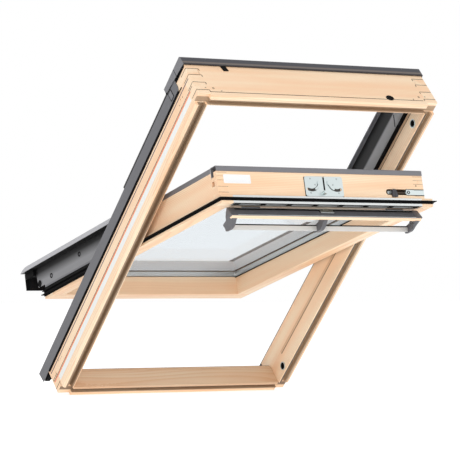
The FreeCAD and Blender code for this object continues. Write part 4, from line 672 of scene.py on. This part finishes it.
# Barrel bolt. A turned steel rod, zinc plated, with a dark plastic knob pushed on it. Its rod is painted
# the brown shade of its slot, and a black ring parts it from the knob.
ROD_SHADE = ("X", 236.5, 237.5, 274, 275)
KNOB = ("Z", 1105.5, 1106.5, 1130, 1131)
NECK = ("X", 229.5, 230.5, 234.5, 235.5)
bolt_finish, bolt_tree, bolt_surface = new_material("zinc bolt with a dark knob")
bolt_tint = shaded(bolt_tree, linear(ZINC), ON_SASH,
                   [(1.0, "#4A4038", ROD_SHADE), (1.0, "#37363E", KNOB), (1.0, "#2A2A2E", NECK)])
bolt_tree.links.new(bolt_tint, bolt_surface.inputs["Base Color"])
knob = within(bolt_tree, window_place(bolt_tree, ON_SASH), KNOB)
bare_bolt = add(bolt_tree, "ShaderNodeMapRange", {"Value": knob, "To Min": 0.9, "To Max": 0.0})
bolt_tree.links.new(bare_bolt.outputs["Result"], bolt_surface.inputs["Metallic"])
bolt_surface.inputs["Roughness"].default_value = 0.42
finish_node("barrel_bolt", bolt_finish)

# Bed of the bolt's guide. The steel guide is seated in black rubber, which shows along both edges, with
# a black grommet round the rivet at its end.
GROMMET_PROFILE = ((2.6, 0.2), (2.8, 0.9), (4.6, 0.9), (4.9, -0.2))
guide_bed = bmesh.new()
bar(guide_bed, (275.0, 335.4), (74.6, 76.4), (RAIL_TOP - SUNK, RAIL_TOP + 0.5))
bar(guide_bed, (275.0, 335.4), (91.6, 93.2), (RAIL_TOP - SUNK, RAIL_TOP + 0.5))
turned(guide_bed, GROMMET_PROFILE, (283, 84, RAIL_TOP), (0, 0, 1), 24)
piece("bolt_guide_gasket", guide_bed, ON_SASH, "sash", rubber)

# Vent slots. Eight openings in a row, punched through the room face of the vent profile. Black plates sit
# in them as painted shade, so they show as flat black.
SLOTS = 8
SLOT_PITCH = 83.0
SLOT_HALF = 8.5
slots = bmesh.new()
for step in range(SLOTS):
    across = (step - (SLOTS - 1) / 2) * SLOT_PITCH
    bar(slots, (across - SLOT_HALF, across + SLOT_HALF), (36.9, 37.45), (RAIL_TOP + 6, RAIL_TOP + 21))
piece("vent_openings", slots, ON_SASH, "sash", black_plastic)

# Screws and plugs of the skirts. At the foot of each skirt sits a black screw in a ring, and two round
# plastic plugs with a raised lip close the fixing holes above it.
SKIRT_FACE = 337.6
RING_PROFILE = ((0, 0.2), (3.0, 0.2), (3.2, 1.0), (5.6, 1.0), (6.2, 0.3), (8.6, 0.2), (9.0, 1.2),
                (10.4, 1.2), (10.8, -0.2))
LIP_PROFILE = ((4.6, 0.1), (4.9, 0.9), (7.2, 0.9), (7.6, -0.2))
rings, caps = bmesh.new(), bmesh.new()
for side in (-1, 1):
    turned(rings, RING_PROFILE, (side * SKIRT_FACE, 94.2, 9.5), (side, 0, 0), 28)
    for out, up in ((99.2, 90.5), (115.8, 282.9)):
        turned(caps, LIP_PROFILE, (side * SKIRT_FACE, out, up), (side, 0, 0), 24)
piece("skirt_ring_screws", rings, ON_SASH, "sash", black_steel)
piece("skirt_plugs", caps, ON_SASH, "sash", black_plastic)

# Seal of the flap. A black rubber lip along the top of the shell, which closes on the vent profile.
# Places on the flap are across, down its face (negative Y) and out of it (Z), from its hinge.
ON_FLAP = ON_SASH @ Matrix.Translation((0, 34.5, 1097)) @ Matrix.Rotation(math.radians(-40), 4, "X")
flap_lip = bmesh.new()
bar(flap_lip, (-307, 307), (-9.5, -3.0), (-0.3, 0.7), 0.3)
piece("flap_seal", flap_lip, ON_FLAP, "vent_flap", rubber)

# Edge trims of the flap. Two thin beads of extruded, anodised aluminium, pressed on the shell's upper
# and lower edge, where they show as pale lines.
trim = bmesh.new()
bar(trim, (-306, 306), (-34.9, -33.2), (-0.2, 0.7), 0.2)
bar(trim, (-306, 306), (-2.8, 0.4), (-0.2, 0.8), 0.2)
piece("flap_edge_trim", trim, ON_FLAP, "vent_flap", anodised)

# Grip of the control bar. A flat face of satin anodised aluminium clipped on the bar, with a black
# plastic strip above it that is painted shade in the gap over the grip. Its milky film keeps the
# highlight soft.
GRIP_HALF = 293.5
grip, gap = bmesh.new(), bmesh.new()
bar(grip, (-GRIP_HALF, GRIP_HALF), (-20.2, -6.4), (1067.8, 1068.9), 0.4)
bar(gap, (-GRIP_HALF, GRIP_HALF), (-6.2, -3.0), (1066.0, 1068.2), 0.3)
satin_grip = metal("satin anodised grip", "#DDDFDF", 0.6, BRUSHED, 0.3)
piece("control_bar_grip", grip, ON_SASH, "vent_flap", satin_grip)
piece("control_bar_gap", gap, ON_SASH, "vent_flap", black_plastic)

# Foot of the link between flap and lock. Two flat rungs, two lugs and an eye of zinc plated steel, drawn
# paler than the other zinc as painted light, riveted to the shell through a black plastic pad that is
# painted shade under the foot.
FOOT_EYE = ((3.4, 0), (4.0, 0.6), (5.8, 0.6), (6.4, 0), (5.8, -0.6), (4.0, -0.6), (3.4, 0))
pad = bmesh.new()
bar(pad, (-21, 27), (-22.5, -5.5), (-0.3, 0.5), 0.3)
piece("flap_link_pad", pad, ON_FLAP, "vent_flap", black_plastic)
foot = bmesh.new()
bar(foot, (-19, 25), (-20.5, -17.0), (0.3, 1.5), 0.3)
bar(foot, (-17, 23), (-13.5, -10.0), (0.3, 1.5), 0.3)
bar(foot, (-5.5, -2.0), (-20.0, -2.0), (0.3, 1.7), 0.3)
bar(foot, (8.0, 11.5), (-20.0, -2.0), (0.3, 1.7), 0.3)
turned(foot, FOOT_EYE, (3, -12.5, 1.3), (0, 0, 1), 24)
piece("flap_link_foot", foot, ON_FLAP, "vent_flap",
      metal("zinc with painted light", "#F0F3F3", 0.5, PLATED, 0.4))

# Floor. A plain pale sheet under the sill that keeps the window's shadow. It glows a little, and a little
# more where the camera, a reflection or the glass looks at it.
FLOOR_HALF = 30
low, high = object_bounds()
floor_shape = bmesh.new()
bmesh.ops.create_grid(floor_shape, x_segments=1, y_segments=1, size=FLOOR_HALF)
bmesh.ops.translate(floor_shape, verts=floor_shape.verts, vec=(0, 0, low[2] - 0.5 * MM))
floor_data = bpy.data.meshes.new("floor")
floor_shape.to_mesh(floor_data)
floor_shape.free()
floor = bpy.data.objects.new("floor", floor_data)
bpy.context.collection.objects.link(floor)


def seen(tree, unseen_level, seen_level):
    """One level for light that falls on things, another for what is seen, mirrored or seen through."""
    rays = add(tree, "ShaderNodeLightPath")
    first = add(tree, "ShaderNodeMath", {0: rays.outputs["Is Camera Ray"],
                                         1: rays.outputs["Is Glossy Ray"]}, operation="MAXIMUM")
    either = add(tree, "ShaderNodeMath", {0: first.outputs["Value"],
                                          1: rays.outputs["Is Transmission Ray"]}, operation="MAXIMUM")
    level = add(tree, "ShaderNodeMapRange", {"Value": either.outputs["Value"], "To Min": unseen_level,
                                             "To Max": seen_level})
    return level.outputs["Result"]


floor_finish, floor_tree, floor_surface = new_material("pale floor")
floor_surface.inputs["Base Color"].default_value = linear("#F2F2F2")
floor_surface.inputs["Roughness"].default_value = 0.9
floor_surface.inputs["Emission Color"].default_value = linear("#FFFFFF")
floor_tree.links.new(seen(floor_tree, 0.42, 0.53), floor_surface.inputs["Emission Strength"])
floor_data.materials.append(floor_finish)

# Surround. White all round where it is seen, mirrored or seen through, and dimmer in the light that it
# gives, so that the pale pine keeps its colour.
world = bpy.data.worlds.new("surround")
bpy.context.scene.world = world
world.use_nodes = True
background = world.node_tree.nodes["Background"]
background.inputs["Color"].default_value = linear("#FFFFFF")
world.node_tree.links.new(seen(world.node_tree, 0.58, 1.0), background.inputs["Strength"])

# Lamps. Four large soft lamps turned to the middle of the window: key and front from the left, a fill
# from the right and a back lamp on the roof side.
middle = (Vector(low) + Vector(high)) / 2


def lamp(name, place, size, power):
    """A soft square lamp turned to the middle of the window."""
    light = bpy.data.lights.new(name, "AREA")
    light.shape = "SQUARE"
    light.size = size
    light.energy = power
    holder = bpy.data.objects.new(name, light)
    bpy.context.collection.objects.link(holder)
    holder.location = place
    holder.rotation_mode = "QUATERNION"
    holder.rotation_quaternion = (middle - Vector(place)).to_track_quat("-Z", "Y")


lamp("key lamp", (-2.4, -3.8, 3.0), 2.2, 43)
lamp("front lamp", (-1.6, -5.2, 0.5), 2.4, 44)
lamp("fill lamp", (3.2, -3.0, 1.4), 3.0, 18)
lamp("back lamp", (-1.5, 3.0, 3.2), 2.5, 34)

# Camera. A long lens on the room side, low and to the left, that looks slightly up. Its place and lens
# are fitted to ten corner points of the pine frame.
HEADING = math.radians(30.546)
RISE = math.radians(1.170)
camera_data = bpy.data.cameras.new("camera")
camera_data.sensor_width = 36
camera_data.lens = 203.6
camera = bpy.data.objects.new("camera", camera_data)
bpy.context.collection.objects.link(camera)
camera.location = (-3.8544, -6.8885, 0.3042)
ahead = Vector((math.sin(HEADING) * math.cos(RISE), math.cos(HEADING) * math.cos(RISE), math.sin(RISE)))
camera.rotation_mode = "QUATERNION"
camera.rotation_quaternion = ahead.to_track_quat("-Z", "Y")
bpy.context.scene.camera = camera
bpy.context.scene.view_settings.view_transform = "Standard"
